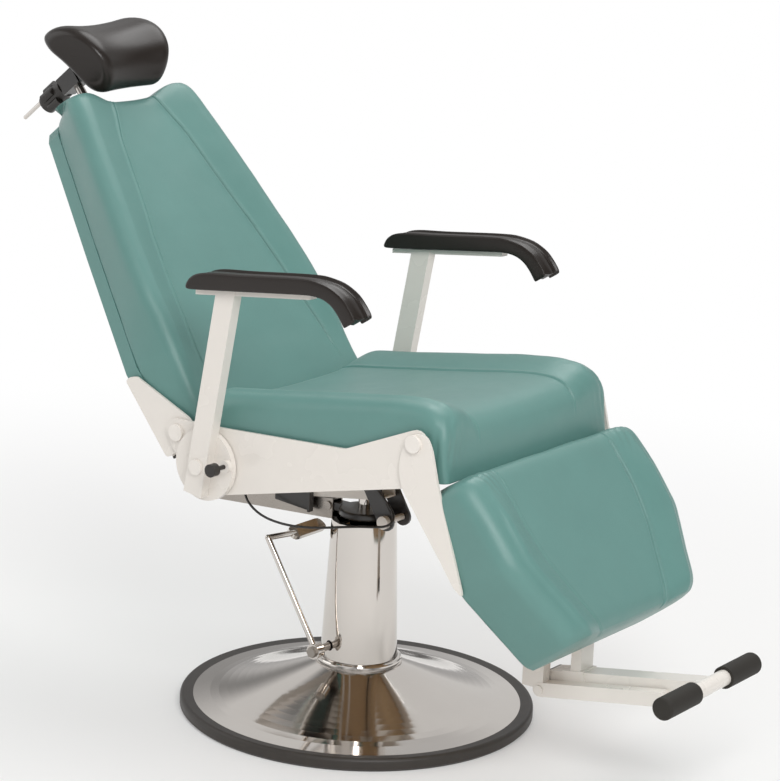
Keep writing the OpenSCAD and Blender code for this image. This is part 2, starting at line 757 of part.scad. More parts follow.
ferrule_r = 3.5;
ferrule_len = 5.7;
module cable_ferrule() color(steel) {
  rod(cable_path[0] - ferrule_len * cable_dir(0), cable_path[0] - face_gap * cable_dir(0), ferrule_r);
}

// Lockable gas spring
spring_r = 12;
spring_bore = 10;
spring_end = 8;
spring_rear_x = 2;
spring_len = 226;
spring_rod_r = 5;
spring_pin_r = 4;
spring_eye_r = 10;
spring_eye_w = 12;
spring_piston = 10;
spring_rest_x = back_pivot[0] - spring_crank * sin(crank_lean);
spring_float = spring_crank * (1 - cos(recline_back - crank_lean)) / 2 + cut;
module gas_cylinder() color(black) in_seat() {
  difference() {
    bar_x(spring_r, spring_rear_x, spring_rear_x + spring_len);
    bar_x(spring_bore, spring_rear_x + spring_end, spring_rear_x + spring_len - spring_end);
    bar_x(spring_rod_r + run_gap, spring_rear_x - cut, spring_rear_x + spring_end + cut);
  }
  bar_x(spring_rod_r, spring_rear_x + spring_len, spring_eye_x);
  translate([spring_eye_x, 0, 0]) {
    bar_y(spring_eye_r, -spring_eye_w / 2, spring_eye_w / 2);
    bar_y(spring_pin_r, -spring_eye_w / 2 - lug_t - face_gap, spring_eye_w / 2 + lug_t + face_gap);
  }
}

module gas_rod() color(chrome) in_seat() {
  bar_x(spring_rod_r, spring_rest_x, spring_rear_x + 4 * spring_piston);
  bar_x(spring_bore - run_gap, spring_rear_x + 4 * spring_piston, spring_rear_x + 5 * spring_piston);
  translate([spring_rest_x, 0, 0]) {
    bar_y(spring_eye_r - cut, -spring_eye_w / 2, spring_eye_w / 2);
    bar_y(spring_pin_r, -lug_in - lug_t - cut, lug_in + lug_t + cut);
  }
}

// Backrest
back_bracket_w = 91;
back_bracket_len = 136;
back_bracket_shares = [
  [-0.6, -0.18], [-0.27, -0.2], [0.39, -0.05], [0.39, 0.06],
  [-0.24, 0.87], [-0.3, 0.95], [-0.48, 1], [-0.6, 0.99]
];
boss_places = [[tube_rear + tube_deep / 2, tube_low / 2], [tube_rear + tube_deep / 2, tube_high * 0.75]];
bracket_boss_r = 8;
module back_bracket() {
  difference() {
    plate(rounded(sized(back_bracket_shares, back_bracket_w, back_bracket_len), pad_round),
          bracket_face - bracket_t, bracket_t);
    bar_y(pivot_r + run_gap, 0, reach);
  }
  for (p = boss_places) translate([p[0], 0, p[1]])
    bar_y(bracket_boss_r, tube_out + face_gap, bracket_face - bracket_t + cut);
}
module back_bracket_left() color(cream) in_back() back_bracket();
module back_bracket_right() color(cream) in_back() mirror([0, 1, 0]) back_bracket();

back_half_shares = [[0.22, 1], [0.58, 0.785], [0.89, 0.588], [0.95, 0.55]];
back_pad_shares = [[0.22, 0.966], [0.35, 0.938], [0.54, 0.863], [0.75, 0.768], [0.93, 0.684], [0.965, 0.655]];
back_top_share = 0.5;
pad_top_share = 0.58;
function back_edge_side(inset, low, high, shares, top) = concat(
  [[back_half - inset, low]],
  [for (p = shares) [p[1] * back_half - inset, p[0] * back_len]],
  [[top * back_half, high]]
);
function back_edge(side) = concat(side, [for (i = [len(side) - 1:-1:0]) [-side[i][0], side[i][1]]]);
// Slabs of the outline of the back and of the wider cushion, between two offsets
module back_slab(x0, x1, inset, low, high)
  translate([x0, 0, 0]) rotate([90, 0, 90]) linear_extrude(x1 - x0)
  polygon(back_edge(back_edge_side(inset, low, high, back_half_shares, back_top_share)));
module pad_slab(x0, x1, low, high)
  translate([x0, 0, 0]) rotate([90, 0, 90]) linear_extrude(x1 - x0)
  polygon(back_edge(back_edge_side(0, low, high, back_pad_shares, pad_top_share)));

shell_low = 3;
panel_drop = 16;
panel_top = back_len - panel_drop;
module back_shell() color(vinyl) in_back() difference() {
  back_slab(shell_rear, shell_front, 0, shell_low, panel_top);
  back_slab(shell_rear + shell_wall, shell_front + cut, shell_wall, shell_low + shell_wall,
            panel_top - shell_wall);
  translate([post_x, 0, panel_top - socket_len]) cylinder(r = socket_r + seat_gap, h = reach);
  both_sides() box(tube_rear - seat_gap, shell_front + cut, tube_out - tube_wide - seat_gap,
                   tube_out + seat_gap, shell_low - cut, shell_low + 2 * shell_wall);
  for (p = boss_places) translate([p[0], 0, p[1]]) bar_y(bracket_boss_r + seat_gap, -reach, reach);
}

module back_board() color(wood) in_back()
  back_slab(shell_front + face_gap, shell_front + board_back_t, wrap_t,
            shell_low + wrap_t, panel_top - wrap_t);

function back_profile(front, top) = concat(
  [[shell_front + seat_gap, shell_low], [pad_back, -board_t], [back_end_r * cos(64), -back_end_r * sin(64)]],
  arc([0, 0], back_end_r, -50, 0, 4),
  [[front[0], back_len * 0.23], [front[1], back_len * 0.75], [front[1], top - 0.6 * bolster_h],
   [front[1] - bolster_h, top], [shell_front + seat_gap, top]]
);
back_crease_shares = [[0.74, 0], [0.62, 0.315], [0.53, 0.63], [0.28, 1]];
module back_cushion() color(vinyl) in_back() {
  intersection() {
    pad_slab(shell_front, pad_front + bolster_h, -reach, back_len);
    difference() {
      plate(back_profile([pad_front, pad_front], panel_top - cut), -back_half, 2 * back_half);
      back_slab(shell_front, pad_back, wrap_t - seat_gap, shell_low + wrap_t - seat_gap,
                panel_top - wrap_t + seat_gap);
    }
  }
  both_sides() intersection() {
    pad_slab(pad_back, pad_front + 2 * bolster_h, -reach, back_len);
    plate(back_profile([pad_front + cut, pad_front + bolster_h], back_len - cut), 0, back_half);
    translate([pad_back, 0, 0]) rotate([90, 0, 90]) linear_extrude(reach) polygon(concat(
      [for (p = back_crease_shares) [p[0] * back_half, p[1] * back_len]],
      [[2 * back_half, back_len], [2 * back_half, 0]]));
  }
}

upper_rail_shares = [[0.9, 0.19], [0.42, 0.9]];
module back_frame() color(cream) in_back() {
  both_sides() difference() {
    box(tube_rear, tube_front - face_gap, tube_out - tube_wide, tube_out, tube_low, tube_high);
    box(tube_rear + cross_wall, tube_front - face_gap - cross_wall, tube_out - tube_wide + cross_wall,
        tube_out - cross_wall, tube_low - cut, tube_high - cross_wall);
  }
  for (z = [tube_low, tube_high - tube_wide])
    box(tube_rear, tube_rear + tube_wide, -tube_out + tube_wide, tube_out - tube_wide, z, z + tube_wide);
  both_sides() translate([tube_rear, 0, 0]) rotate([90, 0, 90]) linear_extrude(tube_wide) polygon([
    [tube_out - tube_wide, tube_high - tube_wide], [tube_out, tube_high],
    [upper_rail_shares[1][0] * back_half, back_len * upper_rail_shares[1][1]],
    [upper_rail_shares[1][0] * back_half - tube_wide, back_len * upper_rail_shares[1][1]]]);
  difference() {
    union() {
      box(tube_rear, tube_rear + tube_wide, -upper_rail_shares[1][0] * back_half,
          upper_rail_shares[1][0] * back_half, back_len * upper_rail_shares[1][1] - tube_wide,
          back_len * upper_rail_shares[1][1]);
      translate([post_x, 0, panel_top - socket_len]) cylinder(r = socket_r, h = socket_len);
    }
    translate([post_x, 0, panel_top - socket_len - cut]) cylinder(r = head_post_r + run_gap, h = reach);
  }
  spring_lugs();
  sync_lug();
}

// Crank lugs under the lower cross tube: a pair for the gas spring, one for the linking bar
lug_root_x = -14;
lug_root_z = -42;
module crank_shape(length, eye, y) plate(concat(
  [[lug_root_x - tube_wide * 0.6, lug_root_z], [lug_root_x + tube_wide * 0.2, lug_root_z + tube_wide * 0.5],
   [eye * 0.8, lug_root_z]],
  arc([0, -length], eye, 10, -190, 12)), y, lug_t);
module spring_lugs() rotate([0, back_lean + crank_lean - seat_tilt, 0]) both_sides() difference() {
  crank_shape(spring_crank, spring_pin_r + spring_float + pin_head_h, lug_in);
  translate([0, 0, -spring_crank]) bar_y(spring_pin_r + spring_float, 0, reach);
}
module sync_lug() rotate([0, back_lean + crank_lean - seat_tilt, 0]) difference() {
  crank_shape(sync_crank, sync_h / 2 + cut, sync_y + sync_t + face_gap);
  translate([0, 0, -sync_crank]) bar_y(sync_pin_r + run_gap, 0, reach);
}

module frame_plugs() color(black) in_back() both_sides()
  box(tube_rear, tube_front - face_gap, tube_out - tube_wide, tube_out,
      tube_low - plug_t - face_gap, tube_low - face_gap);

// Bar that links the back to the leg rest
sync_drop = [-sync_crank * sin(crank_lean), -sync_crank * cos(crank_lean)];
sync_span = leg_pivot - back_pivot;
module sync_bar() color(steel) in_seat()
  translate([back_pivot[0] + sync_drop[0], 0, back_pivot[1] + sync_drop[1]])
  rotate([0, -atan2(sync_span[1], sync_span[0]), 0]) {
    plate(concat(
      arc([0, 0], sync_h / 2, 90, 270),
      arc([norm(sync_span), 0], sync_h / 2, -90, 90)), sync_y, sync_t);
    for (x = [0, norm(sync_span)]) translate([x, 0, 0])
      bar_y(sync_pin_r, sync_y + cut, sync_y + sync_t + lug_t + 2 * cut);
  }

// Headrest
head_drop_shares = [
  [0.25, 1], [0.37, 1.03], [0.66, 0.99], [1, 0.82], [1.16, 0.62], [1.2, 0.44], [1.18, 0.29], [1.05, 0.14],
  [0.84, 0.04], [0.67, 0.04], [0.51, 0.13], [0.47, 0.24], [0.44, 0.46], [0.37, 0.66], [0.26, 0.83]
];
head_low = head_pivot_h - 95;
saddle = 8;
hollow = 10;
function head_ring(y, size, bow) =
  let (line = curved(sized(head_drop_shares, head_t, head_h)))
  let (mid = [0.82 * head_t, 0.45 * head_h])
  [for (p = line)
    let (q = mid + (p - mid) * size)
    [q[0] - bow * hollow * p[0] / head_t, y * (1 - 0.2 * pow(1 - p[1] / head_h, 2)),
     head_low + q[1] - bow * saddle * (2 * p[1] / head_h - 1)]];
head_slices = 10;
head_end_in = 3;
module headrest_pad() color(dark_pu) in_back() difference() {
  skin(concat(
    [head_ring(-head_w / 2, 0.86, 0)],
    [for (i = [0:head_slices]) let (s = 2 * i / head_slices - 1)
      head_ring(s * (head_w / 2 - head_end_in), 1 - 0.02 * s * s, 1 - s * s)],
    [head_ring(head_w / 2, 0.86, 0)]));
  box(head_pivot_x, head_back_x + face_gap, -head_plate_w / 2 - face_gap, head_plate_w / 2 + face_gap,
      head_pivot_h - head_plate_h / 2 - face_gap, head_pivot_h + head_plate_h / 2 + face_gap);
}

clamp_half = 16;
clamp_front = post_x + 18;
clamp_back = post_x - 30;
clamp_low = head_pivot_h - 17;
clamp_high = head_pivot_h + 17;
head_pivot_x = post_x + 30;
head_pin_r = 5;
head_fork_w = 12;
module head_post() color(chrome) in_back() {
  translate([post_x, 0, clamp_low - post_len]) cylinder(r = head_post_r, h = post_len + head_post_r);
}
module head_clamp() color(black) in_back() difference() {
  union() {
    box(clamp_back, clamp_front, -clamp_half, clamp_half, clamp_low, clamp_high);
    both_sides() plate(concat(
      [[clamp_front - cut, clamp_high], [clamp_front - cut, clamp_low]],
      arc([head_pivot_x, head_pivot_h], head_fork_w, -90, 90)),
      head_fork_w / 2 + face_gap, lug_t + pin_head_h);
  }
  translate([post_x, 0, clamp_low - cut])
    cylinder(r = head_post_r + face_gap, h = head_post_r + cut + seat_gap);
  translate([head_pivot_x, 0, head_pivot_h]) bar_y(head_pin_r + run_gap, -reach, reach);
  translate([0, 0, head_pivot_h])
    bar_x(knob_stem_r + run_gap, clamp_back - cut, clamp_back + 2 * knob_stem_r);
}

knob_stem_r = 5;
knob_hub_r = 19;
knob_lobe_r = 9;
knob_lobes = 5;
knob_deep = 60;
module clamp_knob() color(black) in_back() translate([0, 0, head_pivot_h]) difference() {
  union() {
    bar_x(knob_hub_r, clamp_back - knob_deep, clamp_back - face_gap);
    for (i = [0:knob_lobes - 1]) rotate([360 * i / knob_lobes, 0, 0]) translate([0, 0, knob_hub_r - cut])
      bar_x(knob_lobe_r, clamp_back - knob_deep * 0.8, clamp_back - knob_deep * 0.3);
    bar_x(knob_stem_r, clamp_back - face_gap - cut, clamp_back + 2 * knob_stem_r - cut);
  }
  translate([0, 0, lever_z]) bar_x(lever_r + face_gap, clamp_back - reach, clamp_back - knob_deep * 0.4);
}

lever_r = 4;
lever_z = 12;
lever_len = 100;
module clamp_lever() color(chrome) in_back() translate([0, 0, head_pivot_h + lever_z]) {
  bar_x(lever_r, clamp_back - knob_deep * 0.4 - lever_len, clamp_back - knob_deep * 0.4 - face_gap);
  translate([clamp_back - knob_deep * 0.4 - lever_len, 0, 0]) sphere(r = lever_r);
}

head_back_x = 0.4 * head_t;
module head_arm() color(steel) in_back() {
  translate([head_pivot_x, 0, head_pivot_h]) {
    bar_y(head_fork_w - cut, -head_fork_w / 2, head_fork_w / 2);
    bar_y(head_pin_r, -clamp_half, clamp_half);
  }
  box(head_pivot_x, head_back_x, -head_fork_w / 2, head_fork_w / 2, head_pivot_h - knob_lobe_r,
      head_pivot_h + knob_lobe_r);
  head_plate();
}
head_plate_w = 60;
head_plate_h = 44;
module head_plate() box(head_back_x - pin_head_h, head_back_x, -head_plate_w / 2, head_plate_w / 2,
  head_pivot_h - head_plate_h / 2, head_pivot_h + head_plate_h / 2);

// Leg rest
leg_bracket_w = 94;
leg_bracket_len = 258;
leg_bracket_shares = [
  [0.16, 0.047], [0.31, -0.004], [0.28, -0.093], [0.05, -0.302], [-0.3, -0.694], [-0.54, -0.969],
  [-0.585, -1],
  [-0.66, -0.93], [-0.66, -0.725], [-0.69, -0.198], [-0.575, -0.089], [-0.38, -0.012], [-0.075, 0.07]
];
module leg_bracket() difference() {
  union() {
    plate(rounded(sized(leg_bracket_shares, leg_bracket_w, leg_bracket_len), pad_round), leg_face, plate_t);
    box(leg_rear - plate_t / 2 - face_gap, leg_rear - face_gap, leg_face - flange_in, leg_face + cut,
        -0.8 * leg_bracket_len, -leg_top);
  }
  bar_y(pivot_r + run_gap, 0, reach);
}
leg_lug_len = 60;
module leg_lug() difference() {
  rotate([0, leg_lean + crank_lean - seat_tilt, 0]) plate(concat(
    [[sync_lug_x, -sync_crank - leg_lug_len], [sync_lug_x, -sync_crank + sync_h / 2]],
    arc([0, -sync_crank], sync_h / 2 + cut, 90, 270)), sync_y + sync_t + face_gap, lug_t);
  box(leg_rear - face_gap, reach, -reach, reach, -reach, reach);
  rotate([0, leg_lean + crank_lean - seat_tilt, 0]) translate([0, 0, -sync_crank])
    bar_y(sync_pin_r + seat_gap, 0, reach);
}
sync_lug_x = 90;
module leg_bracket_left() color(cream) in_leg() leg_bracket();
module leg_bracket_right() color(cream) in_leg() mirror([0, 1, 0]) leg_bracket();

leg_round = 14;
function leg_edge(inset) = rounded([
  [-leg_half + inset, -leg_top - inset], [-leg_half + inset, -leg_taper],
  [-leg_end_half + inset, -leg_len + inset], [leg_end_half - inset, -leg_len + inset],
  [leg_half - inset, -leg_taper], [leg_half - inset, -leg_top - inset]],
  leg_round);
module leg_slab(x0, x1, inset) translate([x0, 0, 0]) rotate([90, 0, 90]) linear_extrude(x1 - x0)
  polygon(leg_edge(inset));
module leg_board() color(wood) in_leg() leg_slab(leg_rear, leg_rear + board_t, wrap_t);

function leg_profile(front) = concat(
  [[leg_rear, -leg_top]],
  [[front - 2 * leg_round, -leg_top], [front - leg_round / 2, -leg_top - leg_round / 2],
   [front, -leg_top - 2 * leg_round]],
  [[front, -leg_len + 2 * leg_round], [front - leg_round / 2, -leg_len + leg_round / 2],
   [front - 2 * leg_round, -leg_len]],
  [[leg_rear, -leg_len]]
);
leg_crease_shares = [[0.68, 0.23], [0.68, 0.54], [0.42, 1]];
module leg_cushion() color(vinyl) in_leg() {
  intersection() {
    leg_slab(leg_rear, leg_pad_front + bolster_h, 0);
    difference() {
      plate(leg_profile(leg_pad_front), -leg_half, 2 * leg_half);
      leg_slab(leg_rear - cut, leg_pad_back, wrap_t - seat_gap);
    }
  }
  both_sides() intersection() {
    leg_slab(leg_pad_back, leg_pad_front + bolster_h, 0);
    plate(leg_profile(leg_pad_front + 0.8 * bolster_h), 0, leg_half);
    translate([leg_pad_back, 0, 0]) rotate([90, 0, 90]) linear_extrude(reach) polygon(concat(
      [for (p = leg_crease_shares) [p[0] * leg_half, -p[1] * leg_len]],
      [[2 * leg_half, -leg_len], [2 * leg_half, -0.23 * leg_len]]));
  }
}

// Footrest: two posts behind the leg rest, a fixed rail and a guide for the sliding tube
front_post_x = 37;
rear_post_x = -44;
rear_post_len = 42;
rail_near = -slide_w / 2 - guide_wall - face_gap - rail_w;
module footrest_mount() color(cream) {
  in_leg() leg_lug();
  difference() {
    at_foot(0) union() {
      box(front_post_x, front_post_x + post_w, -slide_w / 2, slide_w / 2, slide_h, reach);
      box(rear_post_x, rear_post_x + rear_post_len, rail_near + cut, rail_near + rail_w - cut,
          rail_z + rail_h / 2, reach);
    }
    in_leg() box(leg_rear - face_gap, reach, -reach, reach, -2 * leg_len, leg_len);
    in_foot() box(guide_x - reach, guide_x + reach, -slide_w / 2 - face_gap, slide_w / 2 + face_gap,
                  -reach, slide_h + guide_wall / 2);
  }
  in_foot() {
    difference() {
      box(guide_x, guide_x + guide_len, -slide_w / 2 - guide_wall, slide_w / 2 + guide_wall,
          -guide_wall, slide_h + guide_wall);
      box(guide_x - cut, guide_x + guide_len + cut, -slide_w / 2 - face_gap, slide_w / 2 + face_gap,
          -face_gap, slide_h + face_gap);
    }
    plate(concat(
      arc([rail_x + rail_h / 2, rail_z + rail_h / 2], rail_h / 2, 90, 270),
      [[rail_x + rail_len, rail_z], [rail_x + rail_len + rail_h / 3, rail_z + rail_h]]), rail_near, rail_w);
    box(guide_x + cut, guide_x + guide_len - cut, rail_near + rail_w - cut, -slide_w / 2 - face_gap - cut,
        cut, rail_z + rail_h - cut);
    translate([rail_x + rail_h / 2, 0, rail_z + rail_h / 2])
      bar_y(rail_h / 3, rail_near - pin_head_h, rail_near + cut);
  }
}

module footrest_slide() color(cream) in_foot() {
  difference() {
    box(0, slide_len, -slide_w / 2, slide_w / 2, 0, slide_h);
    box(-cut, slide_len - slide_h, -slide_w / 2 + cross_wall, slide_w / 2 - cross_wall,
        cross_wall, slide_h - cross_wall);
    translate([cross_tube_x, 0, cross_tube_z]) bar_y(cross_tube_r - cut, -slide_w, slide_w);
  }
  translate([cross_tube_x, 0, cross_tube_z])
    bar_y(cross_tube_r, -grip_span / 2 + 2 * plug_t, grip_span / 2 - 2 * plug_t);
}

module footrest_grips() color(dark_pu) in_foot() translate([cross_tube_x, 0, cross_tube_z]) both_sides()
  translate([0, grip_span / 2 - grip_len, 0]) rotate([-90, 0, 0]) rotate_extrude() polygon(concat(
    [[cross_tube_r + face_gap, 0], [grip_d / 2, 0]],
    arc([grip_d / 2 - plug_t, grip_len - plug_t], plug_t, 0, 90, 4),
    [[0, grip_len], [0, grip_len - 2 * plug_t + face_gap],
     [cross_tube_r + face_gap, grip_len - 2 * plug_t + face_gap]]));

module slide_plug() color(black) in_foot()
  box(-plug_t - face_gap, -face_gap, -slide_w / 2, slide_w / 2, 0, slide_h);

// Armrests
module arm_post() difference() {
  union() {
    in_arm() {
      bar_y(arm_disc_r, arm_face, arm_tube_y);
      box(-arm_post_d / 2, arm_post_d / 2, arm_tube_y - cut, arm_tube_y + arm_post_w, -arm_tube_low,
          arm_pad_h + arm_post_w);
    }
    in_pad() translate([knob_x, 0, knob_z])
      bar_y(latch_house_r, arm_tube_y - cut, arm_tube_y + latch_house_h);
    in_pad() arm_bar(-arm_bar_t, cut, -cut);
  }
  in_pad() {
    arm_bar(0, arm_disc_r, 2 * cut);
    bar_y(arm_bolt_r + run_gap, 0, reach);
    translate([knob_x, 0, knob_z]) bar_y(latch_r + run_gap, 0, reach);
  }
}
// Points of the pad, as shares of its length and of its height over the post
pad_rise = 70;
pad_rear = -26;
arm_pad_shares = [
  [0, 0.06], [0.005, 0.22], [0.032, 0.42], [0.085, 0.55], [0.16, 0.61], [0.3, 0.67], [0.588, 0.84],
  [0.72, 0.9],
  [0.835, 0.82], [0.92, 0.6], [0.975, 0.28], [0.998, 0.08], [0.985, 0], [0.95, -0.12], [0.93, -0.18],
  [0.915, -0.06], [0.882, 0.18], [0.835, 0.38], [0.77, 0.46], [0.7, 0.44], [0.35, 0.226], [0.03, 0.03]
];
arm_bar_shares = [[0.035, 0.033], [0.705, 0.443]];
function pad_point(s) = [pad_rear + s[0] * arm_pad_len, arm_pad_h + seat_gap + s[1] * pad_rise];
function bar_point(i, rise) = [
  pad_rear + arm_bar_shares[i][0] * arm_pad_len, arm_pad_h + arm_bar_shares[i][1] * pad_rise + rise];
module arm_bar(low, high, wider) plate(
  [bar_point(0, low), bar_point(1, low), bar_point(1, high), bar_point(0, high)],
  arm_tube_y - wider, arm_post_w + 2 * wider);
module arm_post_left() color(cream) arm_post();
module arm_post_right() color(cream) mirror([0, 1, 0]) arm_post();

module arm_pad() plate(rounded([for (s = arm_pad_shares) pad_point(s)], pad_round),
  arm_mid_y - arm_pad_w / 2, arm_pad_w);
module arm_pad_left() color(dark_pu) in_pad() arm_pad();
module arm_pad_right() color(dark_pu) in_pad() mirror([0, 1, 0]) arm_pad();

module arm_knob() translate([knob_x, 0, knob_z]) {
  bar_y(latch_r, side_face + seat_gap, knob_y + cut);
  bar_y(knob_r, knob_y, knob_y + knob_len);
}
module arm_knob_left() color(black) in_pad() arm_knob();
module arm_knob_right() color(black) in_pad() mirror([0, 1, 0]) arm_knob();

// Release lever under the seat, between two lugs of the middle cross tube
lever_pin_r = 4;
lever_w = 6;
lever_y = -60;
lever_h = 8;
lever_reach = 62;
module release_lever() color(black) in_seat() translate([mid_cross_x, lever_y, 0]) difference() {
  plate(rounded([
    [-1.5 * lever_h, -lever_h], [lever_reach, -1.6 * lever_h], [lever_reach, -lever_h],
    [1.4 * lever_h, lever_h],
    [-1.5 * lever_h, lever_h]], lever_h / 2), -lever_w / 2, lever_w);
  bar_y(lever_pin_r + run_gap, -reach, reach);
}

base_dish();
base_rim();
ballast_plate();
pump_cylinder();
ram_bush();
column_cover();
column_collar();
base_bolts();
pump_shaft();
pump_pedal();
lift_ram();
swivel_head();
neck_post();
support_beam();
beam_pin();
rear_stand();
keel_tube();
front_plates();
plate_pin();
side_plate_left();
side_plate_right();
cross_tubes();
seat_board();
seat_cushion();
pivot_bolts();
arm_bolts();
arm_washers();
release_cable();
cable_ferrule();
gas_cylinder();
gas_rod();
back_bracket_left();
back_bracket_right();
back_frame();
back_board();
back_shell();
back_cushion();
frame_plugs();
sync_bar();
head_post();
head_clamp();
clamp_knob();
clamp_lever();
head_arm();
headrest_pad();
leg_bracket_left();
leg_bracket_right();
leg_board();
leg_cushion();
footrest_mount();
footrest_slide();
footrest_grips();
slide_plug();
arm_post_left();
arm_post_right();
arm_pad_left();
arm_pad_right();
arm_knob_left();
arm_knob_right();
release_lever();
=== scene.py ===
import json
import math

import bmesh
import bpy
from mathutils import Matrix, Vector, noise
from mathutils.geometry import tessellate_polygon


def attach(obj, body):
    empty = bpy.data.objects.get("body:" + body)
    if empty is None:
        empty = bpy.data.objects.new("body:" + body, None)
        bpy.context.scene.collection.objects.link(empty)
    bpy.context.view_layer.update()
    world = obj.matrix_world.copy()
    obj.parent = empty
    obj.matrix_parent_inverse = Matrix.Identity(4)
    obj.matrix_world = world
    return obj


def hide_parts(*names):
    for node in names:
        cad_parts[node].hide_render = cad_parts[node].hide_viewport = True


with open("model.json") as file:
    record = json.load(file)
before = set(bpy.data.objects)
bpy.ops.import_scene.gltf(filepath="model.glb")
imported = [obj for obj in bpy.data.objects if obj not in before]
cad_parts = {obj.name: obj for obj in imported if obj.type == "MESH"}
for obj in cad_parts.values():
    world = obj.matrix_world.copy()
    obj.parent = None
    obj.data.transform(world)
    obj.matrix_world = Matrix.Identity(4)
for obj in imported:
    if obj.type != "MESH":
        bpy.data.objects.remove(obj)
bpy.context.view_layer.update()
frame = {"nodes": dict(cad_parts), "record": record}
mm = 0.001
print("chair frame loaded:", len(frame["nodes"]), "parts")


# camera, fitted to the photograph

cameraSettings = {
    "place": (2.6731, -3.6761, 1.7033), "yaw": 35.569, "pitch": 13.641, "roll": 2.558, "lens": 120.61,
    "sensor": 36}


def placeCamera(s):
    yaw, pitch, roll = (math.radians(s[k]) for k in ("yaw", "pitch", "roll"))
    ahead = Vector((-math.sin(yaw) * math.cos(pitch), math.cos(yaw) * math.cos(pitch), -math.sin(pitch)))
    level = Vector((math.cos(yaw), math.sin(yaw), 0))
    upright = level.cross(ahead)
    right = level * math.cos(roll) + upright * math.sin(roll)
    top = upright * math.cos(roll) - level * math.sin(roll)
    data = bpy.data.cameras.new("photoCamera")
    data.sensor_fit = "HORIZONTAL"
    data.sensor_width = s["sensor"]
    data.lens = s["lens"]
    cam = bpy.data.objects.new("photoCamera", data)
    bpy.context.collection.objects.link(cam)
    cam.matrix_world = Matrix.Translation(s["place"]) @ Matrix((right, top, -ahead)).transposed().to_4x4()
    bpy.context.scene.camera = cam


placeCamera(cameraSettings)
bpy.context.scene.view_settings.view_transform = "Standard"


# shader tools: sums on sockets become Math nodes

class Sig:
    def __init__(self, owner, socket):
        self.owner = owner
        self.socket = socket

    def maths(self, operation, first, second):
        return self.owner.node("ShaderNodeMath", {"operation": operation}, {0: first, 1: second})

    def __add__(self, other):
        return self.maths("ADD", self, other)

    def __sub__(self, other):
        return self.maths("SUBTRACT", self, other)

    def __rsub__(self, other):
        return self.maths("SUBTRACT", other, self)

    def __mul__(self, other):
        return self.maths("MULTIPLY", self, other)

    def __pow__(self, other):
        return self.maths("POWER", self, other)

    __radd__ = __add__
    __rmul__ = __mul__


class NodeTree:
    def __init__(self, tree):
        self.tree = tree

    def node(self, kind, settings=None, inputs=None, out=0):
        made = self.tree.nodes.new(kind)
        for key, value in (settings or {}).items():
            setattr(made, key, value)
        for key, value in (inputs or {}).items():
            if isinstance(value, Sig):
                self.tree.links.new(value.socket, made.inputs[key])
            else:
                made.inputs[key].default_value = value
        return Sig(self, made.outputs[out])


class Finish(NodeTree):
    def __init__(self, name, **fixed):
        self.mat = bpy.data.materials.new(name)
        self.mat.use_nodes = True
        super().__init__(self.mat.node_tree)
        self.shader = self.tree.nodes["Principled BSDF"]
        for key, value in fixed.items():
            self.shader.inputs[key.replace("_", " ")].default_value = value

    def place(self, scale=(1, 1, 1)):
        where = self.node("ShaderNodeTexCoord", out="Object")
        return self.node("ShaderNodeMapping", {}, {"Vector": where, "Scale": scale})

    def cloud(self, where, scale, detail, rough=0.55):
        return self.node("ShaderNodeTexNoise", {},
                         {"Vector": where, "Scale": scale, "Detail": detail, "Roughness": rough})

    def tint(self, factor, dark, light):
        return self.node("ShaderNodeMix", {"data_type": "RGBA"},
                         {"Factor": factor, 6: (*dark, 1), 7: (*light, 1)}, out=2)

    def feed(self, name, sig):
        self.tree.links.new(sig.socket, self.shader.inputs[name])

    def relief(self, height, depth, strength, under=None):
        inputs = {"Height": height, "Distance": depth, "Strength": strength}
        if under:
            inputs["Normal"] = under
        return self.node("ShaderNodeBump", {}, inputs)


def shade(colour, amount):
    return tuple(c * amount for c in colour)


# finishes

vinyl = {"colour": (0.120, 0.262, 0.238), "grain": 620, "fineGrain": 2600, "pore": 0.00022, "rough": 0.30}


def vinylFinish(name, s):
    f = Finish(name, IOR=1.5, Sheen_Weight=0.05, Sheen_Roughness=0.4)
    where = f.place()
    tone = f.cloud(where, 7, 3)
    hide = f.cloud(where, 60, 2)
    mottle = tone * 0.75 + hide * 0.25
    f.feed("Base Color", f.tint(mottle, shade(s["colour"], 0.90), shade(s["colour"], 1.10)))
    cells = f.node("ShaderNodeTexVoronoi", {"feature": "DISTANCE_TO_EDGE"},
                   {"Vector": where, "Scale": s["grain"]})
    pebble = f.node("ShaderNodeMapRange", {}, {"Value": cells, "From Max": 0.35})
    fine = f.cloud(where, s["fineGrain"], 2)
    f.feed("Roughness", hide * 0.10 + (s["rough"] - 0.05) + (1 - pebble) * 0.08)
    soft = f.relief(f.cloud(where, 16, 2), 0.0012, 0.35)
    f.feed("Normal", f.relief(pebble * 0.8 + fine * 0.2, s["pore"], 0.55, soft))
    return f.mat


def paintFinish(name, colour, rough, peel=0.00010):
    f = Finish(name, IOR=1.5, Coat_Roughness=0.08)
    where = f.place()
    tone = f.cloud(where, 5, 3)
    f.feed("Base Color", f.tint(tone, shade(colour, 0.98), shade(colour, 1.01)))
    f.feed("Roughness", f.cloud(where, 8, 3) * 0.06 + (rough - 0.03))
    f.feed("Coat Weight", tone * 0.2 + 0.25)
    f.feed("Normal", f.relief(f.cloud(where, 380, 2), peel, 0.5))
    return f.mat


def chromeFinish(name, colour, rough):
    f = Finish(name, Metallic=1.0)
    where = f.place()
    haze = f.cloud(where, 14, 4)
    f.feed("Base Color", f.tint(haze, shade(colour, 0.93), colour))
    f.feed("Roughness", haze ** 2 * 0.12 + rough)
    f.feed("Normal", f.relief(f.cloud(where, 40, 2), 0.00006, 0.4))
    return f.mat


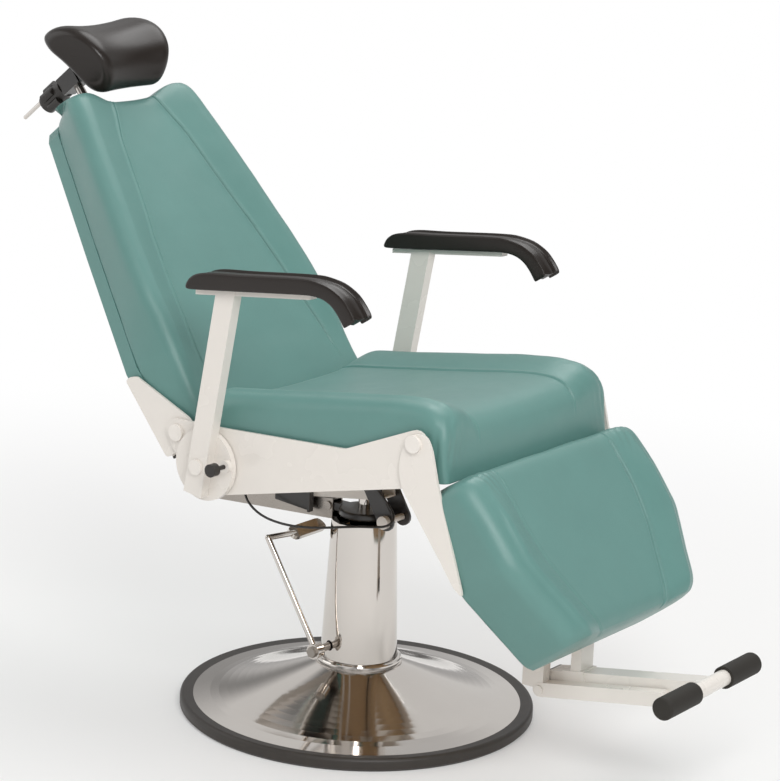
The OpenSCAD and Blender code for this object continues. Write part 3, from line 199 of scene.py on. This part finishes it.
def brushedFinish(name, colour, rough):
    f = Finish(name, Metallic=1.0)
    lines = f.cloud(f.place((1, 1, 14)), 160, 3)  # drawn out along two ways
    haze = f.cloud(f.place(), 25, 3)
    f.feed("Base Color", f.tint(haze * 0.6 + lines * 0.4, shade(colour, 0.8), shade(colour, 1.08)))
    f.feed("Roughness", lines * 0.18 + (rough - 0.09))
    f.feed("Normal", f.relief(lines, 0.00008, 0.5))
    return f.mat


def castFinish(name, colour, rough):
    f = Finish(name, Metallic=0.4)
    where = f.place()
    sand = f.cloud(where, 300, 4)
    f.feed("Base Color", f.tint(f.cloud(where, 12, 4), shade(colour, 0.7), shade(colour, 1.25)))
    f.feed("Roughness", sand * 0.2 + (rough - 0.1))
    f.feed("Normal", f.relief(sand, 0.0006, 0.6))
    return f.mat


def foamFinish(name, colour, rough, grain):
    f = Finish(name, IOR=1.42)
    where = f.place()
    skin = f.node("ShaderNodeTexVoronoi", {"feature": "SMOOTH_F1"}, {"Vector": where, "Scale": grain})
    tone = f.cloud(where, 9, 3)
    f.feed("Base Color", f.tint(tone, shade(colour, 0.85), shade(colour, 1.15)))
    f.feed("Roughness", tone * 0.1 + (rough - 0.05))
    f.feed("Normal", f.relief(skin * 0.7 + f.cloud(where, grain * 3, 2) * 0.3, 0.00022, 0.5))
    return f.mat


def rubberFinish(name, colour, rough):
    f = Finish(name, IOR=1.5)
    where = f.place()
    dust = f.cloud(where, 40, 5, 0.65)
    f.feed("Base Color", f.tint(dust ** 2, colour, shade(colour, 1.6)))
    f.feed("Roughness", dust * 0.15 + (rough - 0.05))
    f.feed("Normal", f.relief(f.cloud(where, 900, 2), 0.00015, 0.5))
    return f.mat


def plyFinish(name, colour):
    f = Finish(name, Roughness=0.6)
    grain = f.cloud(f.place((1, 9, 9)), 26, 5, 0.6)
    rings = f.node("ShaderNodeTexWave", {"bands_direction": "Z"},
                   {"Vector": f.place(), "Scale": 90.0, "Distortion": 2.0, "Detail": 2.0}, out=1)
    f.feed("Base Color", f.tint(grain * 0.7 + rings * 0.3, shade(colour, 0.65), shade(colour, 1.15)))
    f.feed("Normal", f.relief(grain, 0.0003, 0.5))
    return f.mat


finishes = {
    # the chrome's colour is darkened and warmed toward brown: painted reflection of a brown room in the
    # column
    "chrome_metal": chromeFinish("chrome", (0.68, 0.64, 0.60), 0.05),
    "black_rubber": rubberFinish("rubber", (0.030, 0.025, 0.021), 0.45),
    "grey_iron": castFinish("castIron", (0.10, 0.10, 0.105), 0.6),
    "bronze": brushedFinish("bronze", (0.62, 0.42, 0.20), 0.3),
    "grey_steel": brushedFinish("steel", (0.40, 0.365, 0.33), 0.3),
    "black_paint": paintFinish("blackPaint", (0.020, 0.017, 0.015), 0.3),
    "cream_paint": paintFinish("creamPaint", (0.80, 0.755, 0.700), 0.27),
    "cream_plastic": paintFinish("creamCaps", (0.82, 0.775, 0.72), 0.3, 0.00005),
    "teal_vinyl": vinylFinish("tealVinyl", vinyl),
    "plywood": plyFinish("plywood", (0.50, 0.34, 0.19)),
    "black_plastic": rubberFinish("blackPlastic", (0.018, 0.015, 0.013), 0.32),
    "dark_foam": foamFinish("skinFoam", (0.016, 0.0115, 0.009), 0.30, 500),
}
gripFoam = foamFinish("gripFoam", (0.026, 0.023, 0.019), 0.7, 340)  # coarser than the skin foam in its slot
slotOf = {part["node"]: part["material_slot"] for part in frame["record"]["subparts"]}
for nodeName, node in frame["nodes"].items():
    finish = gripFoam if nodeName == "footrest_grips" else finishes[slotOf[nodeName]]
    if not node.material_slots:
        node.data.materials.append(finish)
    for spot in node.material_slots:
        spot.material = finish
print("finishes on the frame:", len(finishes))


# places of the moving groups, as the construction has them: a group's own lengths are in millimetres,
# u ahead, y to the left and w up, and its place() turns them into metres of the frame

def rotated(u, w, degrees):
    a = math.radians(degrees)
    return u * math.cos(a) - w * math.sin(a), u * math.sin(a) + w * math.cos(a)


seatTilt = 8.4  # degrees
seatHeight = 480  # of the seat's own zero point above the floor


def group(pivot, degrees):
    x, z = rotated(*pivot, seatTilt)

    def place(u, y, w):
        a, b = rotated(u, w, degrees)
        return Vector((x + a, y, seatHeight + z + b)) * mm
    return place


inSeat = group((0, 0), seatTilt)
inBack = group((-215, 80), 39.3)
inLeg = group((306, 82), 36.5)
inPad = group((-148, 27), 0)


# a smooth piece in its finish, riding on a body in place of the solids that it replaces

def newPiece(name, verts, faces, slot, body, replaced, level=1):
    mesh = bpy.data.meshes.new(name)
    mesh.from_pydata(verts, [], faces)
    made = bmesh.new()
    made.from_mesh(mesh)
    bmesh.ops.recalc_face_normals(made, faces=made.faces)
    made.to_mesh(mesh)
    made.free()
    mesh.polygons.foreach_set("use_smooth", [True] * len(mesh.polygons))
    piece = bpy.data.objects.new(name, mesh)
    bpy.context.collection.objects.link(piece)
    mesh.materials.append(finishes[slot])
    sub = piece.modifiers.new("round", "SUBSURF")
    sub.levels = sub.render_levels = level
    bpy.context.view_layer.objects.active = piece
    piece.select_set(True)
    bpy.ops.object.modifier_apply(modifier="round")
    piece.select_set(False)
    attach(piece, body)
    for old in replaced:
        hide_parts(old)
    return piece


# closed skin over a row of rings of as many points each

def loft(rings, flatEnds=False):
    n = len(rings[0])
    verts = [p for ring in rings for p in ring]
    faces = []
    for j in range(len(rings) - 1):
        for i in range(n):
            k = (i + 1) % n
            faces.append((j * n + i, j * n + k, (j + 1) * n + k, (j + 1) * n + i))
    for j, turned in ((0, True), (len(rings) - 1, False)):
        if flatEnds:  # a hollow outline can't be filled from its middle
            for a, b, c in tessellate_polygon([rings[j]]):
                faces.append((j * n + a, j * n + b, j * n + c))
            continue
        verts.append(sum(rings[j], Vector()) / n)
        hub = len(verts) - 1
        for i in range(n):
            k = (i + 1) % n
            faces.append((hub, j * n + k, j * n + i) if turned else (hub, j * n + i, j * n + k))
    return verts, faces


def smoothStep(x, low, high):
    t = min(1, max(0, (x - low) / (high - low)))
    return t * t * (3 - 2 * t)


# reads a table of places and values at any place between

def along(table, x):
    if x <= table[0][0]:
        return table[0][1]
    for (x0, v0), (x1, v1) in zip(table, table[1:]):
        if x <= x1:
            return v0 + (v1 - v0) * (x - x0) / (x1 - x0)
    return table[-1][1]


# cuts the corners of a line, twice over, so that it runs in curves

def easedLine(points, rounds=2):
    for _ in range(rounds):
        line = [points[0]]
        for a, b in zip(points, points[1:]):
            line.append(a * 0.75 + b * 0.25)
            line.append(a * 0.25 + b * 0.75)
        points = line + [points[-1]]
    return points


# the same line with its points about a gap apart

def stepped(points, gap):
    line = [points[0]]
    for a, b in zip(points, points[1:]):
        n = max(1, round((b - a).length / gap))
        line += [a.lerp(b, (i + 1) / n) for i in range(n)]
    return line


# one station across a cushion: the pocket for the board, the side face, rolled edge, bolster, seam and panel
# the first number of a point is its place across the cushion, the second its depth from the board

def acrossCushion(c, deep, s):
    lift, rear, front = c["lift"], c["rear"], c["front"]
    edge = min(c.get("edge", s["edge"]), deep * 0.45)
    straight = max(0, deep + lift * s["edgeShare"] - edge)
    seam = c["seam"]
    rim, pocket = rear - s["wrap"], c.get("pocket", 0)
    shape = [(rim * 0.5, pocket), (rim - 1, pocket), (rim, max(0, pocket - 1)), (rim, 0.5), (rim + 0.6, 0)]
    shape += [(rear - 1.2, 0), (rear - 0.2, 0.4)]
    for k in range(1, 5):  # side face, a little full
        bulge = s["belly"] * math.sin(math.pi * k / 4)
        shape.append((rear + (front - rear) * k / 4 + bulge, 3 + (straight - 3) * k / 4))
    for k in range(1, 7):  # rolled edge
        a = math.pi / 2 * k / 6
        shape.append((front - edge * (1 - math.cos(a)), straight + edge * math.sin(a)))
    inner = front - edge
    for k in range(1, 9):  # bolster
        y = inner + (seam + s["fold"] - inner) * k / 8
        t = (y - seam) / max(1, inner - seam)
        crown = math.sin(math.pi * min(1, t * 0.5)) * (1.55 - 0.55 * t)
        rise = s["edgeShare"] * t + (1 - s["edgeShare"]) * crown
        shape.append((y, deep + lift * min(1.0, max(0, rise))))
    pinch = s["pinch"] * min(1, lift / 6)
    base = max(shape[-1][1], deep + lift * 0.1)
    welt = s["welt"] * min(1, lift / 6)
    shape[-1] = (seam + s["fold"], base)
    shape.append((seam + s["fold"] * 0.55, base + welt))
    shape.append((seam + s["fold"] * 0.2, base + welt * 0.3))
    shape.append((seam, deep - pinch))
    shape.append((seam - s["fold"] * 0.2, deep + welt * 0.3))
    shape.append((seam - s["fold"] * 0.55, deep + welt))
    shape.append((seam - s["fold"], deep))
    for k in range(1, 7):  # panel, slightly hollow
        t = 1 - k / 6
        shape.append(((seam - s["fold"]) * t, deep - s["dish"] * (1 - t * t) * min(1, lift / 10)))
    left = [(-y, d) for y, d in reversed(shape[:-1])]
    return shape + left + [(0, pocket)]


unevenness = {"broad": 9, "broadDepth": 0.0011, "fine": 26, "fineDepth": 0.0005}


# a cushion runs through its stations; inner is on the board, outer on the cushion's face

def cushion(name, stations, place, s, body, replaced):
    rings = []
    for c in stations:
        out = c["outer"] - c["inner"]
        deep = out.length
        out.normalize()
        ring = []
        for y, d in acrossCushion(c, deep, s):
            p = c["inner"] + out * d
            lower = 0  # the top edge dips between the seams and falls toward the sides
            if "dip" in c:
                notch = smoothStep(abs(y), c["seam"] * s["notchIn"], c["seam"] + s["notchOut"])
                lower = c["dip"] * (1 - notch) + c["fall"] * smoothStep(abs(y), c["seam"], c["front"])
            ring.append(place(p.x, y, p.y - lower * smoothStep(d, -1, 8)))
        rings.append(ring)
    verts, faces = loft(rings)
    piece = newPiece(name, verts, faces, "teal_vinyl", body, replaced)
    u = unevenness
    for v in piece.data.vertices:  # hand-made upholstery is never quite even
        n = noise.noise(v.co * u["broad"] + Vector((3, 1, 7))) * u["broadDepth"]
        v.co += v.normal * (n + noise.noise(v.co * u["fine"]) * u["fineDepth"])
    return piece


def creases(piece, place, folds):
    # short pulled folds at the corners: centre, direction, length, spacing and depth of each
    for (u, y, w), (du, dy, dw), long, gap, deep in folds:
        centre = place(u, y, w)
        way = (place(u + du, y + dy, w + dw) - centre).normalized()
        for v in piece.data.vertices:
            d = v.co - centre
            far = d.length / (long * mm)
            if far > 2.2:
                continue
            flat = d - way * d.dot(way)
            side = way.cross(v.normal).normalized()
            wave = math.cos(flat.dot(side) / (gap * mm) * 2 * math.pi)
            v.co += v.normal * (wave * deep * mm * math.exp(-far * far * 1.4))


seatSettings = {
    "wrap": 8, "belly": 1.5, "edgeShare": 0.72, "fold": 7.0, "pinch": 1.8, "welt": 1.2, "dish": 5.0,
    "half": 252, "tuck": 3, "seam": 150, "edge": 31, "lift": 26, "spacing": 12,
    "boardTop": 46.3, "boardFront": 300, "noseAhead": 31, "noseDown": 32.3,
    "outline": (
        (-164, 120), (-160, 130.3), (-120, 131), (-55, 130.5), (120, 130.3), (222, 130.3), (290, 128),
        (330, 117), (352, 92), (354, 66), (354, 40), (353.5, 12)),
    "folds": (
        ((345, -243, 70), (0, 0.2, 1), 42, 16, 1.1), ((345, 243, 70), (0, -0.2, 1), 42, 16, 1.1),
        ((325, -215, 120), (1, -0.8, 0), 40, 18, 0.8), ((325, 215, 120), (1, 0.8, 0), 40, 18, 0.8))}


def seatStations(s):
    outer = stepped(easedLine([Vector(p) for p in s["outline"]]), s["spacing"])
    boardTop, boardFront = s["boardTop"], s["boardFront"]
    plain = {"rear": s["half"], "front": s["half"], "seam": s["seam"]}
    narrow = s["half"] - s["tuck"]
    tight = {"rear": narrow, "front": narrow, "seam": s["seam"]}
    result = [
        {**tight, "inner": Vector((-160, boardTop)), "outer": Vector((-160, 60)), "lift": 0, "edge": 6},
        {**tight, "inner": Vector((-163, boardTop)), "outer": Vector((-163.5, 100)), "lift": 6, "edge": 20}]
    for p in outer:
        if p.x < boardFront and p.y > 100:
            inner = Vector((p.x, boardTop))
        else:  # round the front edge of the board and down its face
            t = min(1, max(0, (128 - p.y) / 60))
            ahead = s["noseAhead"] * smoothStep(t, 0, 1)
            inner = Vector((boardFront + ahead, boardTop - s["noseDown"] * smoothStep(p.y, 80, 14)))
        back = smoothStep(p.x, -166, -120)
        front = 1 - smoothStep(118 - p.y, 0, 62) * (1 if p.x > boardFront else 0)
        lift = s["lift"] * (0.55 + 0.45 * back) * max(0.0, front)
        result.append({**plain, "inner": inner, "outer": p, "lift": lift})
    result.append({**tight, "inner": Vector((333, 12)), "outer": Vector((352, 11.6)), "lift": 0, "edge": 6})
    return result


seatPad = cushion("seatCushion", seatStations(seatSettings), inSeat, seatSettings, "seat", ["seat_cushion"])
creases(seatPad, inSeat, seatSettings["folds"])
print("seat cushion made")

backSettings = {
    "wrap": 8, "belly": 1.0, "edgeShare": 0.86, "fold": 7.0, "pinch": 3.0, "welt": 1.7, "dish": 4.0,
    "notchIn": 0.9, "notchOut": 62, "dip": 20, "fall": 3, "edge": 24, "lift": 18, "rearPlane": -22.5,
    "pocketDeep": 10.2, "pocketFrom": 11, "pocketTo": 631.8, "thick": 57, "fuller": 8,
    "endAngles": (-64, -56, -46, -34, -20, -8),
    "heights": (4, 10.8, 11.4, *range(24, 620, 14), 631.4, 632.0, 640, 647, 652, 656),
    "topRows": ((658.5, 46), (660.5, 26), (661, 4)),
    "rear": (
        (-60, 251), (144, 251.5), (380, 197), (584, 148), (623, 138), (640, 127), (650, 118), (656, 110)),
    "front": (
        (-60, 247), (144, 246), (252, 241), (356, 225), (495, 200), (599, 178), (632, 171), (648, 166),
        (656, 158)),
    "seam": (
        (-60, 190), (43, 187), (116, 178), (249, 157), (351, 137), (396, 124), (477, 105), (563, 88),
        (624, 67), (656, 56))}


def backStations(s):
    result = []

    def add(inner, outer, z, **more):
        result.append({"inner": inner, "outer": outer, "rear": along(s["rear"], z),
                       "front": along(s["front"], z), "seam": along(s["seam"], z), **more})

    for a in s["endAngles"]:  # rounded lower end, about the hinge
        out = Vector((s["thick"] * math.cos(math.radians(a)), s["thick"] * math.sin(math.radians(a))))
        t = a / s["endAngles"][0]
        add(Vector((s["rearPlane"] + 10 * t, 3.5 - 15 * t)), out, out.y, lift=0, edge=14)
    for z in s["heights"]:
        front = s["thick"] + s["fuller"] * smoothStep(z, 120, 620) - 6 * smoothStep(z, 634, 660) ** 2
        lift = s["lift"] * smoothStep(z, 30, 200) * (1 - 0.2 * smoothStep(z, 610, 656))
        pocket = s["pocketDeep"] if s["pocketFrom"] < z < s["pocketTo"] else 0
        add(Vector((s["rearPlane"], z)), Vector((front, z)), z, lift=lift, pocket=pocket,
            dip=s["dip"] * smoothStep(z, 500, 640), fall=s["fall"] * smoothStep(z, 560, 650))
    for z, front in s["topRows"]:  # rounded top
        add(Vector((s["rearPlane"] + 3, z - 4)), Vector((front, z)), z, lift=10, edge=12,
            dip=s["dip"], fall=s["fall"])
    return result


backPad = cushion("backCushion", backStations(backSettings), inBack, backSettings, "back", ["back_cushion"])
print("back cushion made")

legSettings = {
    "wrap": 8, "belly": 1.0, "edgeShare": 0.62, "fold": 7.0, "pinch": 2.6, "welt": 1.3, "dish": 3.0,
    "edge": 34, "endEdge": 10, "lift": 23, "spread": 12, "rearPlane": -61.5, "front": 55.4,
    "pocketDeep": 12.2, "pocketFrom": 95.2, "pocketTo": 407, "plain": range(126, 386, 14),
    "upper": (
        (85, -40), (85, 0), (85.3, 28), (87.4, 40), (92, 47), (94.9, 49), (95.5, 49.5), (102, 53), (112, 55)),
    "lower": (
        (392, 54.5), (402, 50), (406.6, 47), (407.2, 46.5), (411, 40), (413.5, 32), (415, 14), (415, -10),
        (415, -35)),
    "half": (
        (87, 238), (90, 246), (96, 254), (106, 259.5), (125, 261), (257, 261), (400, 197), (408, 189),
        (415, 178)),
    "seam": ((87, 172), (200, 172), (265, 160), (399, 106), (415, 100)),
    "folds": (
        ((50, -215, -104), (0, 0.3, -1), 40, 15, 1.2), ((50, 215, -104), (0, -0.3, -1), 40, 15, 1.2))}


def legStations(s):
    result = []
    line = [*s["upper"], *((z, s["front"]) for z in s["plain"]), *s["lower"]]
    for z, front in line:
        half = along(s["half"], z)
        full = smoothStep(front, 20, 55)  # none at the ends, all over the front
        lift = s["lift"] * full * (0.35 + 0.65 * smoothStep(z, 95, 190))
        result.append({"inner": Vector((s["rearPlane"], -z)), "outer": Vector((front, -z)), "rear": half,
                       "front": half + s["spread"] * full, "seam": along(s["seam"], z), "lift": lift,
                       "edge": s["edge"] if front > 0 else s["endEdge"],
                       "pocket": s["pocketDeep"] if s["pocketFrom"] < z < s["pocketTo"] else 0})
    return result


legPad = cushion("legCushion", legStations(legSettings), inLeg, legSettings, "leg", ["leg_cushion"])
creases(legPad, inLeg, legSettings["folds"])
print("leg cushion made")


# headrest, a saddle of skin foam: its side outline, in shares of depth and height, drawn across the width

headSettings = {
    "wide": 214, "tall": 170, "deep": 117, "low": 642, "shift": -8, "hollow": 11, "saddle": 8, "slices": 16,
    "cap": 0.26, "capAngles": (18, 36, 54, 70, 82, 90), "shrink": 0.34, "taper": 0.28, "turn": 4,
    "middle": (0.82, 0.45),
    "drop": (
        (0.25, 1), (0.37, 1.03), (0.66, 0.99), (1, 0.82), (1.16, 0.62), (1.2, 0.44), (1.18, 0.29),
        (1.05, 0.14), (0.84, 0.04), (0.67, 0.04), (0.51, 0.13), (0.47, 0.24), (0.44, 0.46), (0.37, 0.66),
        (0.26, 0.83))}


def headRest(s):
    mid = Vector((s["middle"][0] * s["deep"], s["middle"][1] * s["tall"]))
    straight = 1 - s["cap"]
    stops = [(straight * (2 * k / s["slices"] - 1), 1) for k in range(s["slices"] + 1)]
    ends = []
    for a in s["capAngles"]:
        size = 1 - s["shrink"] * (1 - math.cos(math.radians(a)))
        ends.append((straight + s["cap"] * math.sin(math.radians(a)), size))
    stops = [(-t, size) for t, size in reversed(ends)] + stops + ends
    rings = []
    for t, size in stops:
        bow = 1 - t * t
        ring = []
        for a, b in s["drop"]:
            p = Vector((a * s["deep"], b * s["tall"]))
            q = mid + (p - mid) * size
            y = t * s["wide"] / 2 * (1 - s["taper"] * (1 - b) ** 2)
            turned = s["shift"] + y * math.tan(math.radians(s["turn"]))
            ahead = turned + q.x - bow * s["hollow"] * p.x / s["deep"]
            ring.append(inBack(ahead, y, s["low"] + q.y - bow * s["saddle"] * (2 * p.y / s["tall"] - 1)))
        rings.append(ring)
    verts, faces = loft(rings, True)
    return newPiece("headPad", verts, faces, "dark_foam", "headrest", ["headrest_pad"], 2)


headPad = headRest(headSettings)
print("headrest made")

# armrest pads: the side outline in shares of length and rise

armSettings = {
    "long": 370, "wide": 52, "rise": 70, "rear": -26, "low": 311.4, "round": 10, "mid": 287.5, "corner": 7,
    "roundAngles": (68, 45, 22, 0), "belly": 0.4,
    "shape": (
        (0, 0.06), (0.005, 0.22), (0.032, 0.42), (0.085, 0.55), (0.16, 0.61), (0.3, 0.67), (0.588, 0.84),
        (0.72, 0.9), (0.835, 0.82), (0.92, 0.6), (0.975, 0.28), (0.998, 0.08), (0.985, 0), (0.95, -0.12),
        (0.93, -0.18), (0.915, -0.06), (0.882, 0.18), (0.835, 0.38), (0.77, 0.46), (0.7, 0.44),
        (0.35, 0.226), (0.03, 0.03))}


def armPad(name, side, s, node):
    line = [Vector((s["rear"] + a * s["long"], s["low"] + b * s["rise"])) for a, b in s["shape"]]
    ring = []
    for i, p in enumerate(line):  # two points a corner, so that the skin keeps its edges
        for beside in (line[i - 1], line[(i + 1) % len(line)]):
            way = beside - p
            ring.append(p + way * min(0.3, s["corner"] / way.length))
    n = len(ring)
    normals = []
    for i in range(n):
        way = (ring[(i + 1) % n] - ring[i - 1]).normalized()
        normals.append(Vector((way.y, -way.x)))
    area = sum(ring[i].x * ring[(i + 1) % n].y - ring[(i + 1) % n].x * ring[i].y for i in range(n))
    turn = 1 if area < 0 else -1
    cuts = [(-s["wide"] / 2, s["round"])]  # place across the pad, and how far the outline draws in there
    for a in s["roundAngles"]:
        y = -s["wide"] / 2 + s["round"] * (1 - math.sin(math.radians(a)))
        cuts.append((y, s["round"] * (1 - math.cos(math.radians(90 - a)))))
    cuts.append((0, -s["belly"]))
    cuts += [(-y, r) for y, r in reversed(cuts[:-1])]
    rings = []
    for y, r in cuts:
        drawn = [p + m * turn * r for p, m in zip(ring, normals)]
        rings.append([inPad(p.x, side * (s["mid"] + y), p.y) for p in drawn])
    verts, faces = loft(rings, True)
    piece = newPiece(name, verts, faces, "dark_foam", "arm_left" if side > 0 else "arm_right", [node])


armPad("armPadLeft", 1, armSettings, "arm_pad_left")
armPad("armPadRight", -1, armSettings, "arm_pad_right")
print("arm pads made")


# release cable

cableSettings = {
    "thick": 4.5, "order": 4, "smooth": 8,
    "route": (
        (-192, -30, 390), (-208, -40, 398), (-228, -50, 395), (-233, -60, 378), (-220, -68, 363),
        (-191, -75, 348), (-154, -80, 341), (-103, -85, 342), (-58, -85, 348), (-13, -85, 358),
        (46, -75, 371), (78, -62, 372), (96, -52, 378), (99, -44, 391), (88, -42, 405), (74, -46, 424),
        (54, -54, 446), (30, -60, 464))}


def releaseCable(s):
    data = bpy.data.curves.new("releaseCable", "CURVE")
    data.dimensions = "3D"
    data.bevel_depth = s["thick"] / 2 * mm
    data.bevel_resolution = 4
    data.use_fill_caps = True
    spline = data.splines.new("NURBS")
    points = [Vector(p) * mm for p in s["route"]]
    spline.points.add(len(points) - 1)
    for at, p in zip(spline.points, points):
        at.co = (*p, 1)
    spline.use_endpoint_u = True
    spline.order_u = s["order"]
    spline.resolution_u = s["smooth"]
    piece = bpy.data.objects.new("releaseCable", data)
    bpy.context.collection.objects.link(piece)
    data.materials.append(finishes["black_plastic"])
    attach(piece, "seat")
    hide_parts("release_cable")


releaseCable(cableSettings)
print("release cable made")


# studio: pale floor, white surround, soft lamps

studio = {
    "floor": (0.86, 0.855, 0.845), "reach": 60, "near": 0.6, "far": 2.6, "wash": 0.25,
    "world": 0.58, "roomScale": 2.2, "roomDark": 0.35, "roomLight": 1.3, "roomRange": (0.38, 0.6),
    "lamps": (  # name, place, what it points at, width, power
        ("keyLamp", (2.6, -2.2, 3.0), (0, 0, 0.5), 2.0, 86),
        ("fillLamp", (-3.0, -1.8, 2.2), (0, 0, 0.6), 2.6, 15),
        ("topLamp", (-0.4, 1.2, 3.4), (0, 0, 0.5), 2.2, 40))}


def softLamp(name, place, target, size, power):
    data = bpy.data.lights.new(name, "AREA")
    data.shape = "DISK"
    data.size = size
    data.energy = power
    lamp = bpy.data.objects.new(name, data)
    bpy.context.collection.objects.link(lamp)
    lamp.location = place
    lamp.rotation_euler = (Vector(target) - Vector(place)).to_track_quat("-Z", "Y").to_euler()


def makeFloor(s):
    mesh = bpy.data.meshes.new("studioFloor")
    r = s["reach"]
    mesh.from_pydata([(-r, -r, 0), (r, -r, 0), (r, r, 0), (-r, r, 0)], [], [(0, 1, 2, 3)])
    floor = bpy.data.objects.new("studioFloor", mesh)
    bpy.context.collection.objects.link(floor)
    f = Finish("paleFloor", Roughness=0.9)
    f.feed("Base Color", f.tint(f.cloud(f.place(), 3, 2), shade(s["floor"], 0.995), s["floor"]))
    # farther out the floor turns into plain white, for the camera and in the chrome
    glow = f.node("ShaderNodeEmission", {}, {"Color": (1, 1, 1, 1), "Strength": 1.0})
    where = f.node("ShaderNodeNewGeometry")
    apart = f.node("ShaderNodeVectorMath", {"operation": "LENGTH"}, {"Vector": where}, out="Value")
    far = f.node("ShaderNodeMapRange", {"interpolation_type": "SMOOTHSTEP"},
                 {"Value": apart, "From Min": s["near"], "From Max": s["far"], "To Min": s["wash"],
                  "To Max": 1.0})
    direct = f.node("ShaderNodeLightPath", out="Is Camera Ray")
    mirrored = f.node("ShaderNodeLightPath", out="Is Glossy Ray")
    mix = f.node("ShaderNodeMixShader", {},
                 {0: far * (direct + mirrored), 1: Sig(f, f.shader.outputs[0]), 2: glow})
    f.tree.links.new(mix.socket, f.tree.nodes["Material Output"].inputs["Surface"])
    mesh.materials.append(f.mat)


def makeRoom(s):
    # white for the camera, and for all else soft pale and darker parts that chrome can show
    world = bpy.data.worlds.new("paleRoom")
    bpy.context.scene.world = world
    world.use_nodes = True
    back = world.node_tree.nodes["Background"]
    back.inputs["Color"].default_value = (1, 1, 1, 1)
    room = NodeTree(world.node_tree)
    toward = room.node("ShaderNodeTexCoord", out="Generated")
    patches = room.node("ShaderNodeTexNoise", {}, {"Vector": toward, "Scale": s["roomScale"], "Detail": 0})
    low, high = s["roomRange"]
    spread = room.node("ShaderNodeMapRange", {},
                       {"Value": patches, "From Min": low, "From Max": high,
                        "To Min": s["world"] * s["roomDark"], "To Max": s["world"] * s["roomLight"]})
    seen = room.node("ShaderNodeLightPath", out="Is Camera Ray")
    level = room.node("ShaderNodeMapRange", {}, {"Value": seen, "To Min": spread, "To Max": 1})
    room.tree.links.new(level.socket, back.inputs["Strength"])


makeFloor(studio)
makeRoom(studio)
for lamp in studio["lamps"]:
    softLamp(*lamp)
print("studio set")
